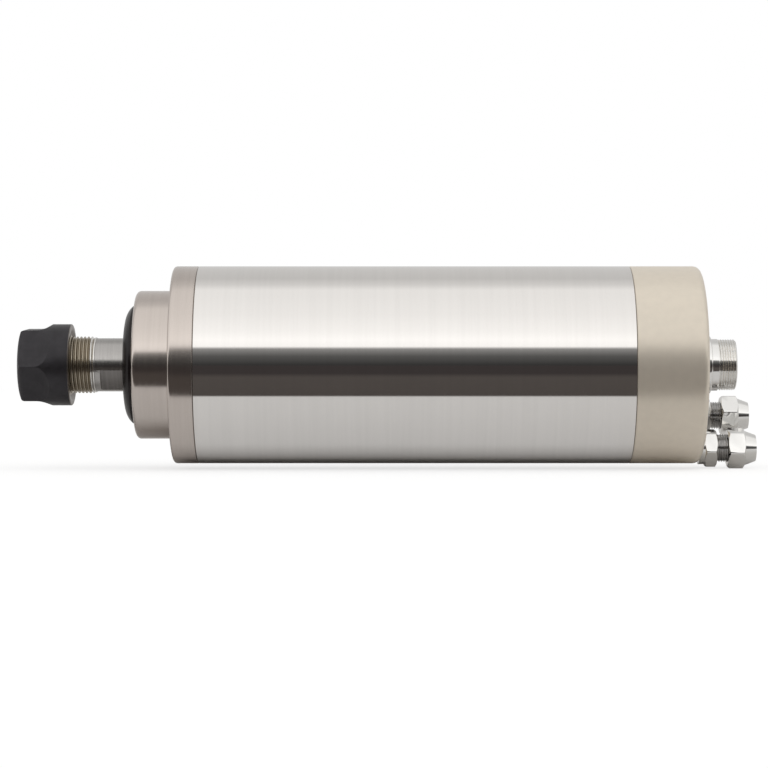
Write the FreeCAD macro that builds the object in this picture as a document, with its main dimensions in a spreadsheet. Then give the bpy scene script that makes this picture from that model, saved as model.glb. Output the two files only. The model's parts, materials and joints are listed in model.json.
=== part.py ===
import FreeCAD, Part
import math
import os
import re

import Sketcher

# Water-cooled motor spindle with a collet nose.
# The spindle's axis is X: the nose points to -X, the connector to +X, and +Z is up.
# The origin is on the axis, halfway along the 213 mm barrel.

# Driving sizes, in millimetres and degrees
SIZES = {
    # Barrel
    "barrel_length": 213.0,
    "barrel_radius": 40.0,
    "tube_wall": 3.0,
    "joint_chamfer": 0.25,
    "fit_gap": 0.02,
    # Front housing
    "nose_length": 15.1,
    "shoulder_width": 10.0,
    "nose_round": 1.8,
    "flange_length": 10.0,
    "flange_round": 1.4,
    "spigot_length": 10.0,
    "front_lip": 2.6,
    "front_lip_gap": 0.6,
    "labyrinth_wall": 2.4,
    "labyrinth_width": 2.8,
    "labyrinth_depth": 1.6,
    "screw_inset": 6.0,
    "front_screw_angle": 45.0,
    "screw_count": 4,
    # Screws, M4 and M3 socket heads
    "large_screw_radius": 2.0,
    "large_head_radius": 3.5,
    "large_head_length": 4.0,
    "large_socket_radius": 1.7,
    "small_screw_radius": 1.5,
    "small_head_radius": 2.7,
    "small_head_length": 3.0,
    "small_socket_radius": 1.4,
    "socket_depth": 1.8,
    "hole_gap": 0.15,
    "head_gap": 0.25,
    "head_sink": 0.4,
    "front_screw_grip": 10.0,
    "rear_screw_grip": 10.0,
    # Rear cap
    "cap_length": 28.5,
    "cap_round": 2.8,
    "cap_wall": 6.5,
    "cap_side_wall": 12.0,
    "rear_screw_angle": 29.5,
    # Water jacket
    "jacket_wall": 4.0,
    "channel_depth": 3.0,
    "channel_count": 8,
    "channel_width": 15.0,
    "land_length": 17.0,
    "turn_width": 9.0,
    "seal_width": 2.4,
    "seal_depth": 1.5,
    "seal_offset": 14.0,
    "seal_squeeze": 0.1,
    # Stator
    "front_space": 36.5,
    "rear_space": 3.0,
    "air_gap": 0.35,
    "slot_count": 24,
    "tooth_tip": 1.85,
    "yoke_width": 4.5,
    "slot_width": 3.0,
    "slot_mouth": 1.2,
    "winding_overhang": 14.0,
    "winding_lip": 1.25,
    "winding_clear": 1.6,
    "winding_round": 3.0,
    "winding_gap": 0.25,
    # Rotor
    "rotor_radius": 17.0,
    "rotor_bore": 12.0,
    "rotor_ring_length": 7.0,
    "rotor_ring_inner": 12.8,
    "rotor_slot_count": 16,
    "rotor_slot_radius": 1.3,
    "rotor_bar_inset": 2.3,
    # Shaft nose
    "thread_radius": 12.45,
    "thread_length": 14.2,
    "thread_chamfer": 0.9,
    "relief_radius": 11.5,
    "relief_length": 10.0,
    "neck_radius": 10.8,
    "neck_length": 12.0,
    "flats_width": 19.0,
    "flats_setback": 2.2,
    "flats_angle": 131.0,
    "journal_radius": 13.0,
    "shoulder_radius": 16.0,
    # Collet and its socket
    "collet_length": 31.5,
    "collet_nose_radius": 9.0,
    "collet_head_radius": 10.5,
    "collet_head_cone": 2.6,
    "collet_head_land": 0.8,
    "collet_groove_width": 2.0,
    "collet_groove_radius": 8.7,
    "collet_rear_land": 1.0,
    "collet_taper_radius": 10.25,
    "collet_taper_angle": 8.0,
    "collet_tail": 2.0,
    "collet_tail_drop": 1.2,
    "collet_bore": 3.0,
    "slit_width": 0.4,
    "slit_count": 4,
    "slit_angle": 7.5,
    "front_slit_length": 24.0,
    "rear_slit_length": 25.0,
    "taper_gap": 0.05,
    "socket_clear": 9.0,
    "socket_floor_radius": 6.4,
    "drawbar_bore": 3.2,
    # Collet nut
    "nut_length": 21.1,
    "nut_radius": 16.5,
    "nut_face_gap": 0.5,
    "nut_flats": 28.6,
    "nut_flats_length": 7.2,
    "nut_runout": 9.8,
    "nut_round": 6.4,
    "nut_chamfer": 0.3,
    "nut_angle": 3.0,
    "thread_gap": 0.1,
    "lip_length": 1.6,
    "lip_radius": 9.6,
    "lip_offset": 0.6,
    "nut_relief_radius": 11.4,
    # Flinger disc
    "flinger_radius": 23.8,
    "flinger_length": 4.1,
    "flinger_gap": 0.3,
    "flinger_face_radius": 18.0,
    "flinger_slope": 2.8,
    "flinger_arc": 8.0,
    "flinger_edge": 0.4,
    "skirt_width": 1.4,
    "skirt_gap": 0.7,
    # Front bearings, 25 x 47 x 12
    "front_bore": 12.5,
    "front_outer": 23.5,
    "front_width": 12.0,
    "front_ball": 3.175,
    "front_ball_count": 8,
    "front_shoulder": 1.9,
    "ball_gap": 0.09,
    # Rear bearings, 15 x 32 x 9
    "rear_bore": 7.5,
    "rear_outer": 16.0,
    "rear_width": 9.0,
    "rear_ball": 2.381,
    "rear_ball_count": 7,
    "rear_shoulder": 1.45,
    "rear_seat_depth": 28.0,
    "bearing_chamfer": 0.8,
    "cage_wall": 1.2,
    "cage_gap": 0.25,
    # Rings that hold the bearings
    "front_nut_length": 8.0,
    "front_nut_radius": 17.6,
    "front_nut_boss": 1.0,
    "front_nut_boss_radius": 15.4,
    "spanner_slot_width": 4.0,
    "spanner_slot_depth": 1.6,
    "spanner_slot_count": 4,
    "retainer_gap": 1.6,
    "retainer_flange": 4.0,
    "retainer_clear": 0.6,
    "retainer_screw_grip": 6.0,
    "rear_nut_length": 6.0,
    "rear_nut_radius": 11.0,
    "spring_count": 3,
    "preload_ring_length": 3.0,
    "preload_ring_bore": 13.4,
    "cover_spigot": 4.0,
    "cover_flange": 3.0,
    "cover_step": 0.5,
    "cover_screw_count": 3,
    "cover_screw_grip": 8.0,
    # Rear bearing housing
    "sleeve_wall": 6.0,
    "sleeve_lip": 3.0,
    "sleeve_lip_gap": 1.5,
    "rear_flange_length": 6.0,
    "shaft_tail": 8.0,
    "shaft_rear_step": 2.0,
    "lead_hole_radius": 2.6,
    "lead_angle": 90.0,
    # Connector
    "connector_flange_radius": 11.8,
    "connector_flange_length": 4.5,
    "connector_collar_radius": 10.5,
    "connector_collar_length": 2.9,
    "connector_thread_radius": 10.3,
    "connector_thread_length": 7.1,
    "connector_tail": 12.0,
    "connector_tail_radius": 9.4,
    "connector_bore": 8.6,
    "insert_recess": 6.5,
    "insert_length": 11.0,
    "pin_radius": 0.9,
    "pin_circle": 5.1,
    "pin_count": 4,
    "pin_length": 5.2,
    "pin_tail": 4.0,
    "key_width": 2.0,
    "key_depth": 0.9,
    "connector_mouth_chamfer": 0.5,
    "connector_nut_flats": 22.0,
    "connector_nut_length": 4.0,
    # Water fittings
    "port_inset": 5.8,
    "port_thread_radius": 4.0,
    "port_depth": 9.5,
    "port_end_gap": 1.0,
    "port_seal_gap": 0.1,
    "port_seal_length": 0.8,
    "water_bore": 2.0,
    "passage_inset": 3.8,
    "passage_bore": 1.7,
    "fitting_collar_radius": 6.6,
    "fitting_collar_length": 2.5,
    "fitting_hex": 14.0,
    "fitting_hex_length": 4.9,
    "fitting_neck_radius": 5.6,
    "fitting_neck_length": 9.5,
    "stem_bore": 1.6,
    "nipple_radius": 2.6,
    "nipple_lead": 1.0,
    "nipple_tip_radius": 2.3,
    "nipple_recess": 0.3,
    "fitting_nut_hex": 15.0,
    "fitting_nut_length": 11.5,
    "fitting_nut_cone": 4.6,
    "fitting_nut_gap": 4.5,
    "fitting_nut_mouth": 3.5,
    "fitting_nut_land": 1.3,
    "fitting_nut_step": 0.4,
    "hose_radius": 4.1,
    "ferrule_length": 2.0,
    "ferrule_gap": 0.3,
    "ferrule_edge": 0.4,
    "corner_share": 1.13,
    "fitting_turn_upper": 30.0,
    "fitting_turn_lower": 41.0,
    "fitting_nut_turn_upper": 18.7,
    "fitting_nut_turn_lower": 43.6,
}

# Places and sizes worked out from the driving sizes
PLACES = {
    # Stations along the axis
    "shoulder_face": "-barrel_length / 2",
    "nose_radius": "barrel_radius - shoulder_width",
    "screw_circle": "barrel_radius - screw_inset",
    "nose_face": "shoulder_face - nose_length",
    "flange_back": "shoulder_face + flange_length",
    "spigot_end": "flange_back + spigot_length",
    "cap_back": "barrel_length / 2",
    "cap_front": "cap_back - cap_length",
    "cap_floor": "cap_back - cap_wall",
    "jacket_end": "cap_front - rear_flange_length",
    "tube_bore": "barrel_radius - tube_wall",
    "jacket_radius": "tube_bore - fit_gap",
    "channel_floor": "tube_bore - channel_depth",
    "jacket_bore": "channel_floor - jacket_wall",
    "spigot_radius": "jacket_bore",
    "cap_cavity_radius": "barrel_radius - cap_side_wall",
    "passage_circle": "tube_bore - passage_inset",
    "channel_step": "360 / channel_count",
    # Front bearing seat
    "front_pitch": "(front_bore + front_outer) / 2",
    "front_lip_bore": "shoulder_radius + front_lip_gap",
    "labyrinth_inner": "front_lip_bore + labyrinth_wall",
    "front_seat": "nose_face + front_lip",
    "front_seat_end": "front_seat + 2 * front_width",
    "front_seat_bore": "front_outer + fit_gap",
    "retainer_end": "spigot_end + retainer_flange",
    "retainer_bore": "front_nut_radius + retainer_gap",
    "retainer_radius": "jacket_bore - retainer_clear",
    "retainer_screw_circle": "(front_seat_bore + spigot_radius) / 2",
    # Flinger and shaft nose
    "flinger_back": "nose_face - flinger_gap",
    "flinger_front": "flinger_back - flinger_length",
    "neck_front": "flinger_front - neck_length",
    "thread_end": "neck_front - relief_length",
    "shaft_face": "thread_end - thread_length",
    "flats_front": "neck_front + flats_setback",
    # Collet
    "collet_cone_end": "collet_head_cone + collet_head_land",
    "collet_groove_end": "collet_cone_end + collet_groove_width",
    "collet_land_end": "collet_groove_end + collet_rear_land",
    "collet_face": "shaft_face - collet_land_end",
    "collet_taper_end": "collet_face + collet_length - collet_tail",
    "collet_small_radius": (
        "collet_taper_radius"
        " - (collet_length - collet_tail - collet_land_end) * tan(collet_taper_angle)"
    ),
    "collet_end": "collet_face + collet_length",
    "socket_end": "collet_end + socket_clear",
    # Collet nut
    "nut_face": "collet_face - nut_face_gap",
    "nut_dome": "min(nut_round; nut_radius - collet_nose_radius - 2 * taper_gap)",
    "nut_back": "nut_face + nut_length",
    "nut_flats_end": "nut_face + nut_flats_length",
    "nut_bore": "thread_radius + thread_gap",
    "lip_front": "collet_face + collet_cone_end + (collet_groove_width - lip_length) / 2",
    "lip_back": "lip_front + lip_length",
    # Rear bearing seat
    "rear_pitch": "(rear_bore + rear_outer) / 2",
    "rear_seat": "cap_front - rear_seat_depth",
    "rear_seat_end": "rear_seat + 2 * rear_width",
    "rear_seat_bore": "rear_outer + fit_gap",
    "sleeve_front": "rear_seat - sleeve_lip",
    "sleeve_radius": "rear_outer + sleeve_wall",
    "shaft_rear_radius": "rear_bore + shaft_rear_step",
    "sleeve_lip_bore": "shaft_rear_radius + sleeve_lip_gap",
    "rear_nut_end": "rear_seat_end + rear_nut_length",
    "shaft_end": "rear_seat_end + shaft_tail",
    "preload_end": "rear_seat_end + preload_ring_length",
    "spring_end": "cap_front - cover_spigot",
    "spring_step": "(spring_end - preload_end) / spring_count",
    "cover_back": "cap_front + cover_flange",
    "cover_radius": "sleeve_radius - cover_step",
    "cover_screw_circle": "(rear_seat_bore + sleeve_radius) / 2",
    "lead_circle": "(sleeve_radius + cap_cavity_radius) / 2",
    # Stator and rotor
    "winding_front": "spigot_end + front_space - winding_overhang",
    "winding_back": "sleeve_front - rear_space",
    "core_front": "winding_front + winding_overhang",
    "core_back": "winding_back - winding_overhang",
    "core_length": "core_back - core_front",
    "core_radius": "jacket_bore - fit_gap",
    "core_bore": "rotor_radius + air_gap",
    "slot_inner": "core_bore + tooth_tip",
    "slot_outer": "core_radius - yoke_width",
    "winding_inner": "core_bore + winding_lip",
    "winding_outer": "jacket_bore - winding_clear",
    "rotor_slot_circle": "rotor_radius - rotor_bar_inset",
    # Connector
    "connector_flange_back": "cap_back + connector_flange_length",
    "connector_collar_back": "connector_flange_back + connector_collar_length",
    "connector_end": "connector_collar_back + connector_thread_length",
    "connector_front": "cap_floor - connector_tail + cap_wall / 2",
    "insert_back": "connector_end - insert_recess",
    "insert_front": "insert_back - insert_length",
    "key_radius": "connector_bore - key_depth",
    "connector_hole": "connector_tail_radius + hole_gap",
    # Water fittings
    "port_circle": "barrel_radius - port_inset",
    "fitting_collar_end": "cap_back + fitting_collar_length",
    "fitting_hex_end": "fitting_collar_end + fitting_hex_length",
    "fitting_neck_end": "fitting_hex_end + fitting_neck_length",
    "fitting_nut_front": "fitting_hex_end + fitting_nut_gap",
    "fitting_nut_back": "fitting_nut_front + fitting_nut_length",
    "fitting_mouth": "fitting_nut_back - fitting_nut_mouth",
    "nipple_end": "fitting_mouth - nipple_recess",
    "fitting_front": "cap_back - port_depth + port_end_gap",
    "port_seal_front": "cap_back - port_depth + port_seal_gap",
    "port_seal_end": "port_seal_front + port_seal_length",
    "fitting_corner": "fitting_hex / 2 * corner_share",
    "fitting_nut_corner": "fitting_nut_hex / 2 * corner_share",
    "fitting_nut_cone_start": "fitting_nut_back - fitting_nut_cone",
    "connector_nut_corner": "connector_nut_flats / 2 * corner_share",
    "lower_port_angle": "rear_screw_angle - channel_step / 2",
    "upper_port_angle": "rear_screw_angle + channel_step / 2",
}

# Sheets

document = FreeCAD.newDocument("motor_spindle")
dims = document.addObject("Spreadsheet::Sheet", "dims")
places = document.addObject("Spreadsheet::Sheet", "places")


def bound(formula):
    """Name the sheet of every size in a formula."""

    def with_sheet(match):
        word = match.group(0)
        if word in SIZES:
            return "dims." + word
        if word in PLACES:
            return "places." + word
        return word

    return re.sub(r"[a-z][a-z0-9_]*", with_sheet, formula)


def value(formula):
    return float(dims.evalExpression(bound(formula)))


def fill_sheets():
    for row, (name, size) in enumerate(SIZES.items(), start=1):
        dims.set(f"A{row}", name)
        dims.set(f"B{row}", str(size))
        dims.setAlias(f"B{row}", name)
    document.recompute()
    for row, (name, formula) in enumerate(PLACES.items(), start=1):
        places.set(f"A{row}", name)
        places.set(f"B{row}", "=" + bound(formula))
        places.setAlias(f"B{row}", name)
    document.recompute()


# Sketches

def origin_feature(body, role):
    return next(item for item in body.Origin.OriginFeatures if item.Role == role)


def sketch_on(body, plane, name):
    sketch = body.newObject("Sketcher::SketchObject", name)
    sketch.AttachmentSupport = (origin_feature(body, plane), [""])
    sketch.MapMode = "FlatFace"
    return sketch


def fix_point(sketch, index, end, point, formulas):
    for kind, coordinate, formula in zip(("DistanceX", "DistanceY"), point, formulas):
        number = sketch.addConstraint(Sketcher.Constraint(kind, -1, 1, index, end, coordinate))
        sketch.setExpression(f"Constraints[{number}]", bound(formula))


def arc_between(start, end, radius, left):
    """A short arc, bulging to the right of its chord when it turns left."""
    middle = (start + end) * 0.5
    chord = end - start
    rise = math.sqrt(max(radius**2 - (chord.Length / 2) ** 2, 0))
    normal = FreeCAD.Vector(-chord.y, chord.x, 0).normalize()
    centre = middle + normal * (rise if left else -rise)
    first, last = (start, end) if left else (end, start)
    angles = [math.atan2(p.y - centre.y, p.x - centre.x) for p in (first, last)]
    if angles[1] < angles[0]:
        angles[1] += 2 * math.pi
    circle = Part.Circle(centre, FreeCAD.Vector(0, 0, 1), radius)
    return Part.ArcOfCircle(circle, angles[0], angles[1])


def draw_outline(sketch, corners, arcs=None):
    """Draw a closed outline through the corners; arcs gives a side's radius and whether it turns left."""
    arcs = arcs or {}
    points = [FreeCAD.Vector(value(x), value(y), 0) for x, y in corners]
    count = len(points)
    ends = []
    for side, start in enumerate(points):
        end = points[(side + 1) % count]
        if side in arcs:
            radius, left = arcs[side]
            sketch.addGeometry(arc_between(start, end, value(radius), left), False)
            number = sketch.addConstraint(Sketcher.Constraint("Radius", side, value(radius)))
            sketch.setExpression(f"Constraints[{number}]", bound(radius))
            ends.append((1, 2) if left else (2, 1))
        else:
            sketch.addGeometry(Part.LineSegment(start, end), False)
            ends.append((1, 2))
    for side in range(count):
        following = (side + 1) % count
        sketch.addConstraint(
            Sketcher.Constraint("Coincident", side, ends[side][1], following, ends[following][0])
        )
        fix_point(sketch, side, ends[side][0], points[side], corners[side])


def move_off_axis(sketch, radius, angle):
    """Carry a sketch out to a radius, at an angle from +Y about X."""
    turn = value(angle)
    out = value(radius)
    sketch.AttachmentOffset = FreeCAD.Placement(
        FreeCAD.Vector(0, out * math.cos(math.radians(turn)), out * math.sin(math.radians(turn))),
        FreeCAD.Rotation(FreeCAD.Vector(1, 0, 0), turn or 0.001),
    )
    sketch.setExpression("AttachmentOffset.Base.y", bound(f"({radius}) * cos({angle})"))
    sketch.setExpression("AttachmentOffset.Base.z", bound(f"({radius}) * sin({angle})"))
    sketch.setExpression("AttachmentOffset.Rotation.Angle", bound(angle))


# Solid features

def new_body(label):
    body = document.addObject("PartDesign::Body", label)
    body.Label = label
    return body


def turned_feature(body, kind, name, corners, arcs=None, radius="0", angle="0"):
    """Revolve an outline about X, or about a line beside it."""
    sketch = sketch_on(body, "XY_Plane", name + "_outline")
    draw_outline(sketch, corners, arcs)
    if radius != "0":
        move_off_axis(sketch, radius, angle)
    document.recompute()
    feature = body.newObject(kind, name)
    feature.Profile = sketch
    feature.ReferenceAxis = (sketch, ["H_Axis"])
    feature.Angle = 360
    document.recompute()
    return feature


def turn(body, name, corners, arcs=None, radius="0", angle="0"):
    return turned_feature(body, "PartDesign::Revolution", name, corners, arcs, radius, angle)


def bore(body, name, corners, arcs=None, radius="0", angle="0"):
    before = body.Shape.Volume
    feature = turned_feature(body, "PartDesign::Groove", name, corners, arcs, radius, angle)
    if not body.Shape.Volume < before:
        raise RuntimeError(f"{body.Label}: {name} cuts nothing")
    return feature


def mill(body, name, corners, width, plane="XZ_Plane", arcs=None, angle=None):
    """Cut an outline to a width, half on each side of its plane."""
    before = body.Shape.Volume
    sketch = sketch_on(body, plane, name + "_outline")
    draw_outline(sketch, corners, arcs)
    if angle is not None:
        sketch.AttachmentOffset = FreeCAD.Placement(
            FreeCAD.Vector(), FreeCAD.Rotation(FreeCAD.Vector(1, 0, 0), value(angle) or 0.001)
        )
        sketch.setExpression("AttachmentOffset.Rotation.Angle", bound(angle))
    document.recompute()
    feature = body.newObject("PartDesign::Pocket", name)
    feature.Profile = sketch
    feature.SideType = "Symmetric"
    feature.setExpression("Length", bound(width))
    document.recompute()
    if not body.Shape.Volume < before:
        raise RuntimeError(f"{body.Label}: {name} cuts nothing")
    return feature


def repeat(body, name, features, count, angle="360"):
    pattern = body.newObject("PartDesign::PolarPattern", name)
    pattern.Originals = features
    pattern.Axis = (origin_feature(body, "X_Axis"), [""])
    pattern.setExpression("Angle", bound(angle))
    pattern.setExpression("Occurrences", bound(count))
    body.Tip = pattern
    document.recompute()
    return pattern


def ring_edges(shape, station, radius):
    """Names of the circles about X at a station with a radius."""
    names = []
    for number, edge in enumerate(shape.Edges, start=1):
        curve = edge.Curve
        if not isinstance(curve, Part.Circle):
            continue
        if math.hypot(curve.Center.y, curve.Center.z) > 0.001:
            continue
        if abs(curve.Center.x - value(station)) < 0.001 and abs(curve.Radius - value(radius)) < 0.001:
            names.append(f"Edge{number}")
    return names


def soften(body, kind, name, rings, size):
    """Fillet or chamfer the rings given as station and radius."""
    base = body.Tip
    edges = [edge for ring in rings for edge in ring_edges(base.Shape, *ring)]
    if len(edges) < len(rings):
        raise RuntimeError(f"{body.Label}: {name} finds {len(edges)} edges")
    feature = body.newObject("PartDesign::" + kind, name)
    feature.Base = (base, edges)
    feature.setExpression("Radius" if kind == "Fillet" else "Size", bound(size))
    document.recompute()
    return feature


def set_turn(body, angle):
    body.Placement = FreeCAD.Placement(
        FreeCAD.Vector(), FreeCAD.Rotation(FreeCAD.Vector(1, 0, 0), value(angle) or 0.001)
    )
    body.setExpression("Placement.Rotation.Angle", bound(angle))


def tube(start, end, inner, outer):
    """Corners of a plain ring's section."""
    return [(start, inner), (end, inner), (end, outer), (start, outer)]


def rod(start, end, radius):
    """Corners of a plain rod's half section."""
    return tube(start, end, "0", radius)


# Screws

def screw_section(head_face, direction, shank_length, size):
    """Half section of a socket screw: the head's outer face is at head_face."""
    sign = "+" if direction > 0 else "-"
    under_head = f"{head_face} {sign} {size}_head_length"
    tip = f"{under_head} {sign} {shank_length}"
    floor = f"{head_face} {sign} socket_depth"
    return [
        (floor, "0"),
        (floor, f"{size}_socket_radius"),
        (head_face, f"{size}_socket_radius"),
        (head_face, f"{size}_head_radius"),
        (under_head, f"{size}_head_radius"),
        (under_head, f"{size}_screw_radius"),
        (f"{tip} {'-' if direction > 0 else '+'} {size}_screw_radius / 4", f"{size}_screw_radius"),
        (tip, f"{size}_screw_radius * 3 / 4"),
        (tip, "0"),
    ]


def screw_set(label, head_face, direction, shank_length, size, circle, angle, count):
    body = new_body(label)
    screw = turn(
        body, "screw", screw_section(head_face, direction, shank_length, size), None, circle, angle
    )
    repeat(body, "screws", [screw], count)
    return body


def screw_hole(head_face, direction, depth, size, bottom):
    """Half section of a counterbored hole; it starts past the outer face and ends at bottom."""
    sign = "+" if direction > 0 else "-"
    back = "-" if direction > 0 else "+"
    seat = f"{head_face} {sign} ({depth})"
    outside = f"{head_face} {back} 1"
    return [
        (outside, "0"),
        (outside, f"{size}_head_radius + head_gap"),
        (seat, f"{size}_head_radius + head_gap"),
        (seat, f"{size}_screw_radius + hole_gap"),
        (bottom, f"{size}_screw_radius + hole_gap"),
        (bottom, "0"),
    ]


# Housing

def front_housing():
    body = new_body("front_housing")
    spigot = "spigot_radius - fit_gap"
    turn(body, "casting", [
        ("nose_face", "front_lip_bore"),
        ("front_seat", "front_lip_bore"),
        ("front_seat", "front_seat_bore"),
        ("spigot_end", "front_seat_bore"),
        ("spigot_end", spigot),
        ("flange_back", spigot),
        ("flange_back", "barrel_radius"),
        ("shoulder_face", "barrel_radius"),
        ("shoulder_face", "nose_radius"),
        ("nose_face", "nose_radius"),
    ])
    bore(body, "labyrinth_groove", tube(
        "nose_face - 1", "nose_face + labyrinth_depth",
        "labyrinth_inner", "labyrinth_inner + labyrinth_width",
    ))
    soften(body, "Fillet", "nose_edge", [("nose_face", "nose_radius")], "nose_round")
    soften(body, "Fillet", "flange_edge", [("shoulder_face", "barrel_radius")], "flange_round")
    soften(body, "Chamfer", "joint_edge", [("flange_back", "barrel_radius")], "joint_chamfer")
    hole = bore(
        body, "screw_hole",
        screw_hole("shoulder_face", 1, "large_head_length + head_sink", "large", "flange_back + 1"),
        None, "screw_circle", "front_screw_angle",
    )
    repeat(body, "screw_holes", [hole], "screw_count")
    tapped = bore(
        body, "retainer_hole",
        rod("spigot_end - retainer_screw_grip - 1", "spigot_end + 1", "small_screw_radius + hole_gap"),
        None, "retainer_screw_circle", "front_screw_angle",
    )
    repeat(body, "retainer_holes", [tapped], "screw_count")
    return body


def outer_tube():
    body = new_body("outer_tube")
    turn(body, "tube", tube("flange_back", "cap_front", "tube_bore", "barrel_radius"))
    ends = [("flange_back", "barrel_radius"), ("cap_front", "barrel_radius")]
    soften(body, "Chamfer", "end_edges", ends, "joint_chamfer")
    return body


def water_jacket():
    body = new_body("water_jacket")
    turn(body, "sleeve", tube("flange_back", "jacket_end", "jacket_bore", "jacket_radius"))
    grooves = (("front_groove", "flange_back + seal_offset"), ("rear_groove", "jacket_end - seal_offset"))
    for name, centre in grooves:
        bore(body, name, tube(
            f"{centre} - seal_width / 2", f"{centre} + seal_width / 2",
            "jacket_radius - seal_depth", "jacket_radius + 1",
        ))
    first = "rear_screw_angle - 90 + channel_step / 2"
    front_end = "flange_back + land_length"
    rear_end = "jacket_end - land_length"
    channel = mill(
        body, "channel",
        tube(front_end, rear_end, "channel_floor", "jacket_radius + 1"),
        "channel_width", "XY_Plane", None, first,
    )
    repeat(body, "channels", [channel], "channel_count")
    add_channel_turns(body, "front_turns", front_end, f"{front_end} + turn_width", "0", "channel_count / 2")
    add_channel_turns(
        body, "rear_turns", f"{rear_end} - turn_width", rear_end, "channel_step", "channel_count / 2 - 1"
    )
    add_jacket_holes(body)
    return body


def add_channel_turns(body, name, start, end, lead, count):
    """Join neighbouring channels by short arcs, so that the water runs to and fro."""
    sketch = sketch_on(body, "XY_Plane", name + "_outline")
    draw_outline(sketch, tube(start, end, "channel_floor", "jacket_radius + 1"))
    angle = f"rear_screw_angle - 90 + channel_step + {lead}"
    sketch.AttachmentOffset = FreeCAD.Placement(
        FreeCAD.Vector(), FreeCAD.Rotation(FreeCAD.Vector(1, 0, 0), value(angle))
    )
    sketch.setExpression("AttachmentOffset.Rotation.Angle", bound(angle))
    document.recompute()
    before = body.Shape.Volume
    groove = body.newObject("PartDesign::Groove", name[:-1])
    groove.Profile = sketch
    groove.ReferenceAxis = (sketch, ["H_Axis"])
    groove.Midplane = True
    groove.setExpression("Angle", bound("channel_step"))
    document.recompute()
    if not body.Shape.Volume < before:
        raise RuntimeError(f"{name} cut nothing")
    repeat(body, name, [groove], count, f"({count} - 1) * 2 * channel_step")


def add_jacket_holes(body):
    """Threaded holes for the front and rear screws, and the two water passages."""
    radius = "large_screw_radius + hole_gap"
    front = bore(
        body, "front_hole", rod("flange_back - 1", "flange_back + front_screw_grip + 1", radius),
        None, "screw_circle", "front_screw_angle",
    )
    repeat(body, "front_holes", [front], "screw_count")
    rear = bore(
        body, "rear_hole", rod("jacket_end - rear_screw_grip - 1", "jacket_end + 1", radius),
        None, "screw_circle", "rear_screw_angle - 90",
    )
    repeat(body, "rear_holes", [rear], "screw_count")
    for name, angle in (("lower_passage", "lower_port_angle"), ("upper_passage", "upper_port_angle")):
        bore(
            body, name, rod("jacket_end - land_length - 3", "jacket_end + 1", "passage_bore"),
            None, "passage_circle", f"{angle} - 90",
        )


def jacket_seal(label, centre):
    body = new_body(label)
    inner = "jacket_radius - seal_depth + seal_squeeze"
    width = "(seal_width / 2 - seal_squeeze)"
    turn(body, "ring", tube(f"{centre} - {width}", f"{centre} + {width}", inner, "jacket_radius"))
    rings = [
        (f"{centre} - {width}", "jacket_radius"),
        (f"{centre} + {width}", "jacket_radius"),
    ]
    soften(body, "Chamfer", "rounded", rings, "seal_depth / 4")
    return body


def rear_cap():
    body = new_body("rear_cap")
    turn(body, "casting", [
        ("cap_front", "cap_cavity_radius"),
        ("cap_floor", "cap_cavity_radius"),
        ("cap_floor", "connector_hole"),
        ("cap_back", "connector_hole"),
        ("cap_back", "barrel_radius"),
        ("cap_front", "barrel_radius"),
    ])
    soften(body, "Fillet", "rim", [("cap_back", "barrel_radius")], "cap_round")
    soften(body, "Fillet", "cavity_corner", [("cap_floor", "cap_cavity_radius")], "cap_wall / 3")
    soften(body, "Chamfer", "joint_edge", [("cap_front", "barrel_radius")], "joint_chamfer")
    hole = bore(
        body, "screw_hole",
        screw_hole("cap_back", -1, "large_head_length + head_sink", "large", "cap_front - 1"),
        None, "screw_circle", "rear_screw_angle - 90",
    )
    repeat(body, "screw_holes", [hole], "screw_count")
    for name, angle in (("lower_port", "lower_port_angle"), ("upper_port", "upper_port_angle")):
        bore(body, name, [
            ("cap_front - 1", "0"),
            ("cap_front - 1", "water_bore"),
            ("cap_back - port_depth", "water_bore"),
            ("cap_back - port_depth", "port_thread_radius + fit_gap"),
            ("cap_back + 1", "port_thread_radius + fit_gap"),
            ("cap_back + 1", "0"),
        ], None, "port_circle", f"{angle} - 90")
    return body


def rear_bearing_housing():
    body = new_body("rear_bearing_housing")
    turn(body, "casting", [
        ("sleeve_front", "sleeve_lip_bore"),
        ("rear_seat", "sleeve_lip_bore"),
        ("rear_seat", "rear_seat_bore"),
        ("cap_front", "rear_seat_bore"),
        ("cap_front", "jacket_radius"),
        ("jacket_end", "jacket_radius"),
        ("jacket_end", "sleeve_radius"),
        ("sleeve_front", "sleeve_radius"),
    ])
    hole = bore(
        body, "screw_hole",
        rod("jacket_end - 1", "cap_front + 1", "large_screw_radius + hole_gap"),
        None, "screw_circle", "rear_screw_angle - 90",
    )
    repeat(body, "screw_holes", [hole], "screw_count")
    tapped = bore(
        body, "cover_hole",
        rod("cap_front - cover_screw_grip - 1", "cap_front + 1", "small_screw_radius + hole_gap"),
        None, "cover_screw_circle", "front_screw_angle",
    )
    repeat(body, "cover_holes", [tapped], "cover_screw_count")
    for name, angle in (("lower_passage", "lower_port_angle"), ("upper_passage", "upper_port_angle")):
        bore(
            body, name, rod("jacket_end - 1", "cap_front + 1", "passage_bore"),
            None, "passage_circle", f"{angle} - 90",
        )
    bore(
        body, "lead_hole", rod("jacket_end - 1", "cap_front + 1", "lead_hole_radius"),
        None, "lead_circle", "lead_angle",
    )
    return body


# Stator

def stator_core():
    body = new_body("stator_core")
    turn(body, "stack", tube("core_front", "core_back", "core_bore", "core_radius"))
    slot = mill_slot(body)
    repeat(body, "slots", [slot], "slot_count")
    return body


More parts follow.
